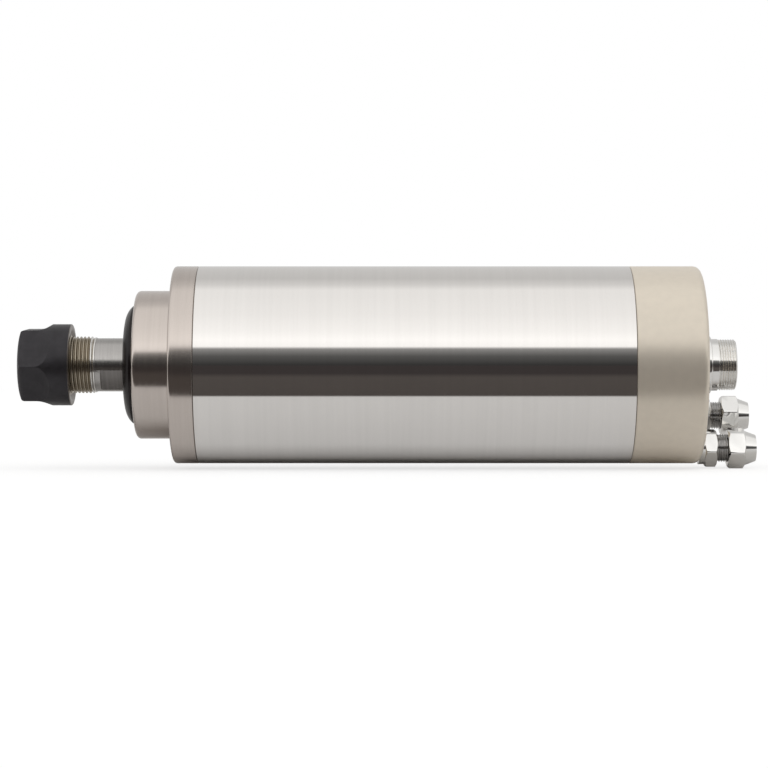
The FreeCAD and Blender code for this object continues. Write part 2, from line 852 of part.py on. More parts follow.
def mill_slot(body):
    """One winding slot with a narrow mouth, drawn across the axis."""
    sketch = sketch_on(body, "YZ_Plane", "slot_outline")
    draw_outline(sketch, [
        ("core_bore - 1", "-slot_mouth / 2"),
        ("slot_inner", "-slot_mouth / 2"),
        ("slot_inner", "-slot_width / 2"),
        ("slot_outer", "-slot_width / 2"),
        ("slot_outer", "slot_width / 2"),
        ("slot_inner", "slot_width / 2"),
        ("slot_inner", "slot_mouth / 2"),
        ("core_bore - 1", "slot_mouth / 2"),
    ])
    document.recompute()
    before = body.Shape.Volume
    pocket = body.newObject("PartDesign::Pocket", "slot")
    pocket.Profile = sketch
    pocket.SideType = "Symmetric"
    pocket.setExpression("Length", bound("4 * core_length"))
    document.recompute()
    if not body.Shape.Volume < before:
        raise RuntimeError("the stator slot cut nothing")
    return pocket


def stator_winding():
    """Copper in the slots, joined by a bundle of end turns at each end."""
    body = new_body("stator_winding")
    rings = (
        ("front_turns", "winding_front", "core_front - winding_gap"),
        ("rear_turns", "core_back + winding_gap", "winding_back"),
    )
    for name, start, end in rings:
        turn(body, name, tube(start, end, "winding_inner", "winding_outer"))
    sketch = sketch_on(body, "YZ_Plane", "slot_bar_outline")
    draw_outline(sketch, [
        ("slot_inner + winding_gap", "winding_gap - slot_width / 2"),
        ("slot_outer - winding_gap", "winding_gap - slot_width / 2"),
        ("slot_outer - winding_gap", "slot_width / 2 - winding_gap"),
        ("slot_inner + winding_gap", "slot_width / 2 - winding_gap"),
    ])
    sketch.setExpression("AttachmentOffset.Base.z", bound("core_front - 1"))
    document.recompute()
    bar = body.newObject("PartDesign::Pad", "slot_bar")
    bar.Profile = sketch
    bar.setExpression("Length", bound("core_length + 2"))
    document.recompute()
    repeat(body, "slot_bars", [bar], "slot_count")
    corners = [("winding_front", "winding_outer"), ("winding_back", "winding_outer")]
    soften(body, "Fillet", "bundle_edges", corners, "winding_round")
    return body


# Rotor

def shaft():
    body = new_body("shaft")
    turn(body, "blank", [
        ("shaft_face", "0"),
        ("shaft_face", "thread_radius - thread_chamfer"),
        ("shaft_face + thread_chamfer", "thread_radius"),
        ("thread_end", "thread_radius"),
        ("thread_end", "relief_radius"),
        ("neck_front", "relief_radius"),
        ("neck_front", "neck_radius"),
        ("flinger_front", "neck_radius"),
        ("flinger_front", "journal_radius"),
        ("flinger_back", "journal_radius"),
        ("flinger_back", "shoulder_radius"),
        ("front_seat", "shoulder_radius"),
        ("front_seat", "front_bore"),
        ("front_seat_end + front_nut_length", "front_bore"),
        ("front_seat_end + front_nut_length", "rotor_bore"),
        ("core_back", "rotor_bore"),
        ("core_back", "shaft_rear_radius"),
        ("rear_seat", "shaft_rear_radius"),
        ("rear_seat", "rear_bore"),
        ("shaft_end", "rear_bore"),
        ("shaft_end", "0"),
    ])
    bore(body, "collet_socket", [
        ("shaft_face - 1", "0"),
        ("shaft_face - 1", "collet_taper_radius + taper_gap + tan(collet_taper_angle)"),
        ("collet_taper_end", "collet_small_radius + taper_gap"),
        ("collet_end + 1", "collet_small_radius + taper_gap"),
        ("collet_end + 1", "socket_floor_radius"),
        ("socket_end", "socket_floor_radius"),
        ("socket_end + socket_floor_radius - drawbar_bore", "drawbar_bore"),
        ("shaft_end - 2 * rear_bore", "drawbar_bore"),
        ("shaft_end - 2 * rear_bore", "0"),
    ])
    flat = mill(
        body, "flat",
        tube("flats_front", "flinger_front", "flats_width / 2", "neck_radius + 1"),
        "4 * neck_radius",
    )
    repeat(body, "flats", [flat], "2")
    soften(body, "Chamfer", "tail_edge", [("shaft_end", "rear_bore")], "bearing_chamfer")
    set_turn(body, "flats_angle")
    return body


def flinger():
    body = new_body("flinger")
    skirt_inner = "labyrinth_inner + (labyrinth_width - skirt_width) / 2"
    skirt_end = "nose_face + labyrinth_depth - skirt_gap"
    turn(body, "disc", [
        ("flinger_front", "journal_radius + fit_gap"),
        ("flinger_back", "journal_radius + fit_gap"),
        ("flinger_back", skirt_inner),
        (skirt_end, skirt_inner),
        (skirt_end, f"{skirt_inner} + skirt_width"),
        ("flinger_back", f"{skirt_inner} + skirt_width"),
        ("flinger_back", "flinger_radius"),
        ("flinger_front + flinger_slope", "flinger_radius"),
        ("flinger_front", "flinger_face_radius"),
    ], {7: ("flinger_arc", True)})
    soften(body, "Fillet", "back_rim", [("flinger_back", "flinger_radius")], "flinger_edge")
    return body


def rotor_core():
    body = new_body("rotor_core")
    turn(body, "stack", tube("core_front", "core_back", "rotor_bore + fit_gap", "rotor_radius"))
    hole = bore(
        body, "bar_hole",
        rod("core_front - 1", "core_back + 1", "rotor_slot_radius + fit_gap"),
        None, "rotor_slot_circle", "0",
    )
    repeat(body, "bar_holes", [hole], "rotor_slot_count")
    return body


def rotor_cage():
    """Cast aluminium cage: a ring at each end and a bar in each hole of the core."""
    body = new_body("rotor_cage")
    rings = (
        ("front_ring", "core_front - rotor_ring_length", "core_front - fit_gap"),
        ("rear_ring", "core_back + fit_gap", "core_back + rotor_ring_length"),
    )
    for name, start, end in rings:
        turn(body, name, tube(start, end, "rotor_ring_inner", "rotor_radius - air_gap"))
    bar = turn(
        body, "bar", rod("core_front - 1", "core_back + 1", "rotor_slot_radius"),
        None, "rotor_slot_circle", "0",
    )
    repeat(body, "bars", [bar], "rotor_slot_count")
    return body


# Bearings

def groove_half(size, shoulder):
    """Half the width of a ball groove where it meets its ring's shoulder."""
    return f"sqrt(({size}_ball + ball_gap) ^ 2 - ({size}_pitch - ({shoulder})) ^ 2)"


def ball_place(size, number):
    return f"({size}_seat + ({number} + 0.5) * {size}_width)"


def inner_rings(size):
    """The pair of inner rings, a separate solid each."""
    body = new_body(f"{size}_bearing_inner_rings")
    shoulder = f"{size}_pitch - {size}_shoulder"
    half = groove_half(size, shoulder)
    for number in (0, 1):
        middle = ball_place(size, number)
        start = f"({size}_seat + {number} * ({size}_width + fit_gap))"
        end = f"({size}_seat + {number + 1} * {size}_width)"
        turn(body, f"ring_{number}", [
            (start, f"{size}_bore + fit_gap"),
            (end, f"{size}_bore + fit_gap"),
            (end, shoulder),
            (f"{middle} + {half}", shoulder),
            (f"{middle} - {half}", shoulder),
            (start, shoulder),
        ], {3: (f"{size}_ball + ball_gap", False)})
    return body


def outer_rings(size):
    """The pair of outer rings, a separate solid each."""
    body = new_body(f"{size}_bearing_outer_rings")
    shoulder = f"{size}_pitch + {size}_shoulder"
    half = groove_half(size, shoulder)
    for number in (0, 1):
        middle = ball_place(size, number)
        start = f"({size}_seat + {number} * ({size}_width + fit_gap))"
        end = f"({size}_seat + {number + 1} * {size}_width)"
        turn(body, f"ring_{number}", [
            (start, f"{size}_outer - bearing_chamfer"),
            (start, shoulder),
            (f"{middle} - {half}", shoulder),
            (f"{middle} + {half}", shoulder),
            (end, shoulder),
            (end, f"{size}_outer - bearing_chamfer"),
            (f"{end} - bearing_chamfer", f"{size}_outer"),
            (f"{start} + bearing_chamfer", f"{size}_outer"),
        ], {2: (f"{size}_ball + ball_gap", False)})
    return body


def balls(size):
    body = new_body(f"{size}_bearing_balls")
    radius = f"{size}_ball"
    spheres = []
    for number in (0, 1):
        middle = ball_place(size, number)
        spheres.append(turn(body, f"ball_{number}", [
            (f"{middle} + {radius}", "0"),
            (middle, radius),
            (f"{middle} - {radius}", "0"),
        ], {0: (radius, True), 1: (radius, True)}, f"{size}_pitch", "0"))
    repeat(body, "balls", spheres, f"{size}_ball_count")
    return body


def cages(size):
    """The pair of cages: thin rings with a window for each ball."""
    body = new_body(f"{size}_bearing_cages")
    inner = f"{size}_pitch - cage_wall / 2"
    outer = f"{size}_pitch + cage_wall / 2"
    window = f"({size}_ball + ball_gap)"
    for number in (0, 1):
        middle = ball_place(size, number)
        half = f"({size}_width / 2 - cage_gap)"
        turn(body, f"cage_{number}", tube(f"{middle} - {half}", f"{middle} + {half}", inner, outer))
    windows = []
    for number in (0, 1):
        middle = ball_place(size, number)
        windows.append(mill(
            body, f"window_{number}",
            tube(f"{middle} - {window}", f"{middle} + {window}", f"{inner} - 1", f"{outer} + 1"),
            f"2 * {window}", "XY_Plane",
        ))
    repeat(body, "windows", windows, f"{size}_ball_count")
    return body


def front_locknut():
    body = new_body("front_locknut")
    turn(body, "nut", [
        ("front_seat_end", "front_bore + fit_gap"),
        ("front_seat_end + front_nut_length", "front_bore + fit_gap"),
        ("front_seat_end + front_nut_length", "front_nut_radius"),
        ("front_seat_end + front_nut_boss", "front_nut_radius"),
        ("front_seat_end + front_nut_boss", "front_nut_boss_radius"),
        ("front_seat_end", "front_nut_boss_radius"),
    ])
    slot = mill(
        body, "spanner_slot",
        tube(
            "front_seat_end", "front_seat_end + front_nut_length + 1",
            "front_nut_radius - spanner_slot_depth", "front_nut_radius + 1",
        ),
        "spanner_slot_width", "XY_Plane",
    )
    repeat(body, "spanner_slots", [slot], "spanner_slot_count")
    return body


def rear_locknut():
    body = new_body("rear_locknut")
    turn(body, "nut", [
        ("rear_seat_end", "rear_bore + fit_gap"),
        ("rear_nut_end", "rear_bore + fit_gap"),
        ("rear_nut_end", "rear_nut_radius"),
        ("rear_seat_end + front_nut_boss", "rear_nut_radius"),
        ("rear_seat_end + front_nut_boss", "rear_pitch - rear_shoulder"),
        ("rear_seat_end", "rear_pitch - rear_shoulder"),
    ])
    slot = mill(
        body, "spanner_slot",
        tube(
            "rear_seat_end + rear_nut_length / 3", "rear_nut_end + 1",
            "rear_nut_radius - spanner_slot_depth", "rear_nut_radius + 1",
        ),
        "spanner_slot_width * 2 / 3", "XY_Plane",
    )
    repeat(body, "spanner_slots", [slot], "spanner_slot_count")
    return body


def front_retainer():
    body = new_body("front_retainer")
    turn(body, "ring", [
        ("front_seat_end", "retainer_bore"),
        ("retainer_end", "retainer_bore"),
        ("retainer_end", "retainer_radius"),
        ("spigot_end", "retainer_radius"),
        ("spigot_end", "front_outer - fit_gap"),
        ("front_seat_end", "front_outer - fit_gap"),
    ])
    hole = bore(
        body, "screw_hole",
        rod("spigot_end - 1", "retainer_end + 1", "small_screw_radius + hole_gap"),
        None, "retainer_screw_circle", "front_screw_angle",
    )
    repeat(body, "screw_holes", [hole], "screw_count")
    return body


def preload_ring():
    body = new_body("preload_ring")
    turn(body, "ring", tube("rear_seat_end", "preload_end", "preload_ring_bore", "rear_outer - fit_gap"))
    return body


def preload_springs():
    """A stack of coned disc springs, each a separate solid, turned face to face in turn."""
    body = new_body("preload_springs")
    thickness = "(spring_step / 2)"
    inner = "preload_ring_bore"
    outer = "(rear_outer - 2 * fit_gap)"
    for number in range(int(SIZES["spring_count"])):
        start = f"(preload_end + {number} * spring_step)"
        low, high = ("0", thickness) if number % 2 else (thickness, "0")
        turn(body, f"spring_{number}", [
            (f"{start} + {low}", inner),
            (f"{start} + {low} + {thickness}", inner),
            (f"{start} + {high} + {thickness}", outer),
            (f"{start} + {high}", outer),
        ])
    return body


def bearing_cover():
    body = new_body("bearing_cover")
    turn(body, "plate", [
        ("spring_end", "rear_nut_radius + 1"),
        ("cap_front", "rear_nut_radius + 1"),
        ("cap_front", "0"),
        ("cover_back", "0"),
        ("cover_back", "cover_radius"),
        ("cap_front", "cover_radius"),
        ("cap_front", "rear_outer - fit_gap"),
        ("spring_end", "rear_outer - fit_gap"),
    ])
    hole = bore(
        body, "screw_hole",
        rod("cap_front - 1", "cover_back + 1", "small_screw_radius + hole_gap"),
        None, "cover_screw_circle", "front_screw_angle",
    )
    repeat(body, "screw_holes", [hole], "cover_screw_count")
    return body


# Collet and nut

def collet():
    body = new_body("collet")
    turn(body, "blank", [
        ("collet_face", "collet_bore"),
        ("collet_end", "collet_bore"),
        ("collet_end", "collet_small_radius - collet_tail_drop"),
        ("collet_taper_end", "collet_small_radius"),
        ("collet_face + collet_land_end", "collet_taper_radius"),
        ("collet_face + collet_groove_end", "collet_taper_radius"),
        ("collet_face + collet_groove_end", "collet_groove_radius"),
        ("collet_face + collet_cone_end", "collet_groove_radius"),
        ("collet_face + collet_cone_end", "collet_head_radius"),
        ("collet_face + collet_head_cone", "collet_head_radius"),
        ("collet_face", "collet_nose_radius"),
    ])
    front_slit = mill(
        body, "front_slit",
        tube("collet_face - 1", "collet_face + front_slit_length", "0", "collet_head_radius + 1"),
        "slit_width", "XY_Plane",
    )
    repeat(body, "front_slits", [front_slit], "slit_count")
    rear_slit = mill(
        body, "rear_slit",
        tube("collet_end - rear_slit_length", "collet_end + 1", "0", "collet_head_radius + 1"),
        "slit_width", "XY_Plane", None, "180 / slit_count",
    )
    repeat(body, "rear_slits", [rear_slit], "slit_count")
    set_turn(body, "slit_angle")
    return body


def collet_nut():
    body = new_body("collet_nut")
    turn(body, "blank", [
        ("nut_face", "collet_nose_radius + taper_gap"),
        ("collet_face", "collet_nose_radius + taper_gap"),
        ("collet_face + collet_head_cone", "collet_head_radius + taper_gap"),
        ("lip_front", "collet_head_radius + taper_gap"),
        ("lip_front", "collet_groove_radius + taper_gap"),
        ("lip_back", "collet_groove_radius + taper_gap"),
        ("lip_back", "nut_relief_radius"),
        ("shaft_face - 2 * taper_gap", "nut_relief_radius"),
        ("shaft_face - 2 * taper_gap", "nut_bore"),
        ("nut_back", "nut_bore"),
        ("nut_back", "nut_radius"),
        ("nut_face", "nut_radius"),
    ])
    bore(
        body, "snap_lip", rod("lip_front", "lip_back", "lip_radius"), None, "lip_offset", "90",
    )
    soften(body, "Fillet", "front_edge", [("nut_face", "nut_radius")], "nut_dome")
    soften(body, "Chamfer", "back_edge", [("nut_back", "nut_radius")], "nut_chamfer")
    flat = mill(
        body, "flat",
        [
            ("nut_face - 1", "nut_flats / 2"),
            ("nut_flats_end", "nut_flats / 2"),
            ("nut_flats_end + nut_runout", "nut_flats / 2 + nut_runout"),
            ("nut_face - 1", "nut_flats / 2 + nut_runout"),
        ],
        "4 * nut_radius", "XZ_Plane", {1: ("nut_runout", True)},
    )
    repeat(body, "flats", [flat], "6")
    set_turn(body, "nut_angle")
    return body


# Connector

def connector_shell():
    body = new_body("connector_shell")
    turn(body, "shell", [
        ("connector_front", "connector_bore"),
        ("connector_end", "connector_bore"),
        ("connector_end", "connector_thread_radius"),
        ("connector_collar_back", "connector_thread_radius"),
        ("connector_collar_back", "connector_collar_radius"),
        ("connector_flange_back", "connector_collar_radius"),
        ("connector_flange_back", "connector_flange_radius"),
        ("cap_back", "connector_flange_radius"),
        ("cap_back", "connector_tail_radius"),
        ("connector_front", "connector_tail_radius"),
    ])
    edge = [("connector_end", "connector_thread_radius")]
    soften(body, "Chamfer", "mouth_edge", edge, "connector_mouth_chamfer")
    edge = [("connector_flange_back", "connector_flange_radius")]
    soften(body, "Fillet", "flange_edge", edge, "connector_flange_length / 6")
    return body


def connector_insert():
    """Moulded insert, with a rib that keys the plug."""
    body = new_body("connector_insert")
    turn(body, "disc", rod("insert_front", "insert_back", "connector_bore - fit_gap"))
    sketch = sketch_on(body, "YZ_Plane", "key_outline")
    draw_outline(sketch, [
        ("-key_width / 2", "key_radius"),
        ("key_width / 2", "key_radius"),
        ("key_width / 2", "connector_bore - key_depth / 3"),
        ("-key_width / 2", "connector_bore - key_depth / 3"),
    ])
    sketch.setExpression("AttachmentOffset.Base.z", bound("insert_back - 1"))
    document.recompute()
    key = body.newObject("PartDesign::Pad", "key")
    key.Profile = sketch
    key.setExpression("Length", bound("insert_recess"))
    document.recompute()
    hole = bore(
        body, "pin_hole", rod("insert_front - 1", "insert_back + 1", "pin_radius + fit_gap"),
        None, "pin_circle", "180 / pin_count",
    )
    repeat(body, "pin_holes", [hole], "pin_count")
    return body


def connector_pins():
    body = new_body("connector_pins")
    pin = turn(body, "pin", [
        ("insert_front - pin_tail", "0"),
        ("insert_front - pin_tail", "pin_radius"),
        ("insert_back + pin_length - pin_radius", "pin_radius"),
        ("insert_back + pin_length", "0"),
    ], {2: ("pin_radius", False)}, "pin_circle", "180 / pin_count")
    repeat(body, "pins", [pin], "pin_count")
    return body


def hex_prism(name, start, end, flats, turn_angle="0"):
    """A hexagonal prism along X."""
    prism = document.addObject("Part::Prism", name)
    prism.Polygon = 6
    prism.setExpression("Circumradius", bound(f"{flats} / 2 / cos(30)"))
    prism.setExpression("Height", bound(f"({end}) - ({start})"))
    prism.Placement = FreeCAD.Placement(
        FreeCAD.Vector(), FreeCAD.Rotation(FreeCAD.Vector(0, 1, 0), 90)
    )
    prism.setExpression("Placement.Base.x", bound(start))
    return prism


def common_of(label, base, tool):
    piece = document.addObject("Part::Common", label)
    piece.Label = label
    piece.Base = base
    piece.Tool = tool
    document.recompute()
    return piece


def connector_nut():
    blank = new_body("connector_nut_blank")
    end = "cap_floor"
    start = "cap_floor - connector_nut_length"
    corner = "connector_nut_corner"
    turn(blank, "blank", tube(start, end, "connector_tail_radius + fit_gap", corner))
    soften(blank, "Chamfer", "corners", [(start, corner)], "connector_nut_length / 5")
    prism = hex_prism("connector_nut_hex", f"{start} - 1", f"{end} + 1", "connector_nut_flats")
    return common_of("connector_nut", blank, prism)


# Water fittings

def fitting_profile():
    """Body of a fitting: thread in the port, collar, hexagon, neck and nipple."""
    corner = "fitting_corner"
    return [
        ("fitting_front", "water_bore"),
        ("fitting_neck_end", "stem_bore"),
        ("nipple_end", "stem_bore"),
        ("nipple_end", "nipple_tip_radius"),
        ("nipple_end - nipple_lead", "nipple_radius"),
        ("fitting_neck_end", "nipple_radius"),
        ("fitting_neck_end", "fitting_neck_radius"),
        ("fitting_hex_end", "fitting_neck_radius"),
        ("fitting_hex_end", corner),
        ("fitting_collar_end", corner),
        ("fitting_collar_end", "fitting_collar_radius"),
        ("cap_back", "fitting_collar_radius"),
        ("cap_back", "port_thread_radius"),
        ("fitting_front", "port_thread_radius"),
    ]


def place_fitting(piece, angle, clocking):
    """Carry a piece modelled on the X axis to its water port."""
    piece.Placement = FreeCAD.Placement(
        FreeCAD.Vector(
            0,
            value(f"port_circle * sin({angle})"),
            value(f"-port_circle * cos({angle})"),
        ),
        FreeCAD.Rotation(FreeCAD.Vector(1, 0, 0), value(clocking) or 0.001),
    )
    piece.setExpression("Placement.Base.y", bound(f"port_circle * sin({angle})"))
    piece.setExpression("Placement.Base.z", bound(f"-port_circle * cos({angle})"))
    piece.setExpression("Placement.Rotation.Angle", bound(clocking))


def fitting_body(side):
    blank = new_body(f"{side}_fitting_blank")
    turn(blank, "blank", fitting_profile())
    corner = "fitting_corner"
    edges = [("fitting_collar_end", corner), ("fitting_hex_end", corner)]
    soften(blank, "Chamfer", "corners", edges, "fitting_hex / 24")
    shank = new_body(f"{side}_fitting_mask")
    turn(shank, "front", rod("cap_back - port_depth", "fitting_collar_end", "fitting_hex"))
    turn(shank, "back", rod("fitting_hex_end", "nipple_end + 1", "fitting_hex"))
    prism = hex_prism(
        f"{side}_fitting_hex", "fitting_collar_end - 1", "fitting_hex_end + 1", "fitting_hex"
    )
    mask = document.addObject("Part::Fuse", f"{side}_fitting_envelope")
    mask.Base = shank
    mask.Tool = prism
    piece = common_of(f"{side}_fitting_body", blank, mask)
    place_fitting(piece, f"{side}_port_angle", f"fitting_turn_{side}")
    return piece


def fitting_nut(side):
    """Compression nut: hexagon, then a cone with the hose mouth."""
    blank = new_body(f"{side}_fitting_nut_blank")
    corner = "fitting_nut_corner"
    turn(blank, "blank", [
        ("fitting_nut_front", "fitting_neck_radius + thread_gap"),
        ("fitting_mouth - fitting_nut_mouth / 2", "fitting_neck_radius + thread_gap"),
        ("fitting_mouth", "hose_radius"),
        ("fitting_nut_back", "hose_radius"),
        ("fitting_nut_back", "hose_radius + fitting_nut_land"),
        ("fitting_nut_cone_start", "fitting_nut_hex / 2 - fitting_nut_step"),
        ("fitting_nut_cone_start", corner),
        ("fitting_nut_front", corner),
    ])
    edges = [("fitting_nut_front", corner), ("fitting_nut_cone_start", corner)]
    soften(blank, "Chamfer", "corners", edges, "fitting_nut_hex / 24")
    prism = hex_prism(
        f"{side}_fitting_nut_hex", "fitting_nut_front - 1", "fitting_nut_back + 1", "fitting_nut_hex"
    )
    piece = common_of(f"{side}_fitting_nut", blank, prism)
    place_fitting(piece, f"{side}_port_angle", f"fitting_nut_turn_{side}")
    return piece


def ferrule(side):
    body = new_body(f"{side}_ferrule")
    start = "fitting_neck_end + ferrule_gap"
    outer = "fitting_neck_radius - ferrule_gap"
    turn(body, "ring", [
        (start, "hose_radius"),
        (f"{start} + ferrule_length", "hose_radius"),
        (f"{start} + ferrule_length", "hose_radius + ferrule_edge"),
        (f"{start} + ferrule_length / 2", outer),
        (start, outer),
    ])
    place_fitting(body, f"{side}_port_angle", f"fitting_turn_{side}")
    return body


def port_seal(side):
    """Sealing ring under the fitting, let into the foot of its collar."""
    body = new_body(f"{side}_port_seal")
    outer = "port_thread_radius - fit_gap"
    turn(body, "ring", tube("port_seal_front", "port_seal_end", "water_bore", outer))
    place_fitting(body, f"{side}_port_angle", f"fitting_turn_{side}")
    return body


# Assembly

def build_pieces():
    pieces = [
        front_housing(),
        outer_tube(),
        water_jacket(),
        jacket_seal("front_jacket_seal", "flange_back + seal_offset"),
        jacket_seal("rear_jacket_seal", "jacket_end - seal_offset"),
        rear_cap(),
        rear_bearing_housing(),
        screw_set(
            "front_screws", "shoulder_face + head_sink", 1,
            "(flange_length - head_sink - large_head_length + front_screw_grip)",
            "large", "screw_circle", "front_screw_angle", "screw_count",
        ),
        screw_set(
            "rear_screws", "cap_back - head_sink", -1,
            "(cap_length + rear_flange_length - head_sink - large_head_length + rear_screw_grip)",
            "large", "screw_circle", "rear_screw_angle - 90", "screw_count",
        ),
        stator_core(),
        stator_winding(),
        shaft(),
        flinger(),
        rotor_core(),
        rotor_cage(),
    ]
    for size in ("front", "rear"):
        pieces += [inner_rings(size), outer_rings(size), balls(size), cages(size)]
    pieces += [
        front_locknut(),
        rear_locknut(),
        front_retainer(),
        screw_set(
            "retainer_screws", "retainer_end + small_head_length", -1,
            "(retainer_flange + retainer_screw_grip)",
            "small", "retainer_screw_circle", "front_screw_angle", "screw_count",
        ),
        preload_ring(),
        preload_springs(),
        bearing_cover(),
        screw_set(
            "cover_screws", "cover_back + small_head_length", -1,
            "(cover_flange + cover_screw_grip)",
            "small", "cover_screw_circle", "front_screw_angle", "cover_screw_count",
        ),
        collet(),
        collet_nut(),
        connector_shell(),
        connector_insert(),
        connector_pins(),
        connector_nut(),
    ]
    for side in ("lower", "upper"):
        pieces += [fitting_body(side), fitting_nut(side), ferrule(side), port_seal(side)]
    return pieces


def check_document():
    for item in document.Objects:
        if "Invalid" in item.State or "Error" in item.State:
            raise RuntimeError(f"{item.Label} failed: {item.State}")


def write_pieces(pieces):
    for piece in pieces:
        if piece.Shape.isNull() or not piece.Shape.isValid():
            raise RuntimeError(f"{piece.Label} has no valid shape")
    os.makedirs("parts", exist_ok=True)
    for piece in pieces:
        piece.Shape.exportStep(f"parts/{piece.Label}.step")


fill_sheets()
all_pieces = build_pieces()
document.recompute()
check_document()
write_pieces(all_pieces)
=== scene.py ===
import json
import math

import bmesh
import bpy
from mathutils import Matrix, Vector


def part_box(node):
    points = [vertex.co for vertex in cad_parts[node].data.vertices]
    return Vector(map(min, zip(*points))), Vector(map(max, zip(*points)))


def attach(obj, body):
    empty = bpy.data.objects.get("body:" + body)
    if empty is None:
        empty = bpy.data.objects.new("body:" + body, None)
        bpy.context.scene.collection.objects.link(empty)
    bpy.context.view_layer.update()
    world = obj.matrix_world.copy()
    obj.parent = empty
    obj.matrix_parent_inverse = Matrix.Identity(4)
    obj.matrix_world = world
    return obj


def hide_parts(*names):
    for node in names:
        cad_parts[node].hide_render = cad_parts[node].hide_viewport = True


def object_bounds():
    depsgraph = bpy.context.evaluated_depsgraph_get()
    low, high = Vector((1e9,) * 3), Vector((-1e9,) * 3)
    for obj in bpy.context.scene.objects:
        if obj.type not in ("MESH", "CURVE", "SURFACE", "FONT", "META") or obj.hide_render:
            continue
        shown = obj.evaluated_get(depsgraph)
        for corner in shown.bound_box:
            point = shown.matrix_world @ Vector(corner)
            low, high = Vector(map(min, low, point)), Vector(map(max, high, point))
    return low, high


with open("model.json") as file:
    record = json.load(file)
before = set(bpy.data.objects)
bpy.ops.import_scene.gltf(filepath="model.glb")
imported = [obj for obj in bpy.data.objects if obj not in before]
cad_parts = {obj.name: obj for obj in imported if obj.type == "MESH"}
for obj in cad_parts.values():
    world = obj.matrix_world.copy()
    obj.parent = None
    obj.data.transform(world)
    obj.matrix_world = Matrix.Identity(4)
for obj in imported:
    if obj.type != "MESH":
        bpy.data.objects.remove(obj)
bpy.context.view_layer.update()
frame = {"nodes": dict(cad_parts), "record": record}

# %% [markdown]
# ## A motor spindle, dressed
# This lesson gives a water-cooled motor spindle its looks. The construction is already there:
# the frame holds every piece at its real size, in metres, with the spindle's axis along X and
# the collet nose towards -X. Each step models one piece of the outside or mixes one finish.

MM = 0.001
FULL_TURN = 2 * math.pi

# %% [markdown]
# ## The camera
# The photograph looks square at the side of the barrel from about a metre away, a little right
# of its middle: the rear joint line bulges more than the front one, which gives the distance.
# A long lens at that distance is used, and a small shift puts the barrel above the middle.

# %% Camera
CAMERA_X = -19 * MM
CAMERA_DISTANCE = 1060 * MM
LENS = 122.25
AXIS_COLUMN = 390
AXIS_ROW = 364.8
PHOTO_SIZE = 768

camera_data = bpy.data.cameras.new("camera")
camera_data.lens = LENS
camera_data.sensor_width = 36
camera_data.shift_x = (PHOTO_SIZE / 2 - AXIS_COLUMN) / PHOTO_SIZE
camera_data.shift_y = (AXIS_ROW - PHOTO_SIZE / 2) / PHOTO_SIZE
camera_data.clip_end = 20
camera = bpy.data.objects.new("camera", camera_data)
camera.location = (CAMERA_X, -CAMERA_DISTANCE, 0)
camera.rotation_euler = (math.radians(90), 0, 0)
bpy.context.collection.objects.link(camera)
bpy.context.scene.camera = camera
bpy.context.scene.view_settings.view_transform = "Standard"

# %% [markdown]
# ## Modelling helpers
# Nearly all of a spindle is turned on a lathe, so the main helper works like one: a single point
# is extruded round the half section and then spun about the axis. Rings of edges are picked by
# their station and radius and bevelled, as a lathe hand breaks an edge. Milled and drilled
# places are cut afterwards with a Boolean modifier, which keeps the lathe work simple.

# %% Helpers: selection and edit mode
TURN_STEPS = 144
MERGE = 0.001 * MM
SAME_PLACE = 0.02 * MM


def only(piece):
    """Select one object and make it the active one."""
    bpy.ops.object.select_all(action="DESELECT")
    piece.select_set(True)
    bpy.context.view_layer.objects.active = piece


def edit(piece):
    only(piece)
    bpy.ops.object.mode_set(mode="EDIT")


def done():
    bpy.ops.object.mode_set(mode="OBJECT")


def pick_edges(piece, wanted):
    """In edit mode, select the edges whose two ends both pass a test."""
    bpy.ops.mesh.select_mode(type="EDGE")
    bpy.ops.mesh.select_all(action="DESELECT")
    mesh = bmesh.from_edit_mesh(piece.data)
    count = 0
    for edge in mesh.edges:
        if all(wanted(corner.co) for corner in edge.verts):
            edge.select_set(True)
            count += 1
    bmesh.update_edit_mesh(piece.data)
    return count


# %% [markdown]
# ### Drawing a section and turning it
# A lathe section could be traced with a curve and turned by a Screw modifier. Extruding a point
# from corner to corner keeps every corner at an exact station and radius, and Spin in edit mode
# turns the outline in one step. Its first and last rings meet, so doubles are merged and the
# normals are made to point outwards. An arc is a row of short steps.

# %% Helpers: drawing a closed outline and turning it on the lathe
def drawn(name, outline, side=0.0):
    """Draw a closed outline of (station, height) points by extruding a single point."""
    bpy.ops.object.select_all(action="DESELECT")
    bpy.ops.mesh.primitive_plane_add(size=MM)
    piece = bpy.context.active_object
    piece.name = name
    bpy.ops.object.mode_set(mode="EDIT")
    bpy.ops.mesh.select_mode(type="VERT")
    bpy.ops.mesh.select_all(action="SELECT")
    bpy.ops.mesh.merge(type="CENTER")
    bpy.ops.transform.translate(value=(outline[0][0], side, outline[0][1]))
    here = outline[0]
    for point in outline[1:] + outline[:1]:
        step = (point[0] - here[0], 0, point[1] - here[1])
        bpy.ops.mesh.extrude_vertices_move(TRANSFORM_OT_translate={"value": step})
        here = point
    bpy.ops.mesh.select_all(action="SELECT")
    bpy.ops.mesh.remove_doubles(threshold=MERGE)
    done()
    return piece


def arc(start, end, radius, steps=8):
    """The points between two corners of a section along an arc that bulges outwards."""
    middle = (Vector(start) + Vector(end)) / 2
    chord = Vector(end) - Vector(start)
    inward = Vector((-chord.y, chord.x)).normalized()
    center = middle + inward * math.sqrt(radius ** 2 - (chord.length / 2) ** 2)
    first = Vector(start) - center
    turn = 2 * math.asin(chord.length / 2 / radius)
    points = []
    for step in range(1, steps):
        spoke = Matrix.Rotation(turn * step / steps, 2) @ first
        points.append(tuple(center + spoke))
    return points


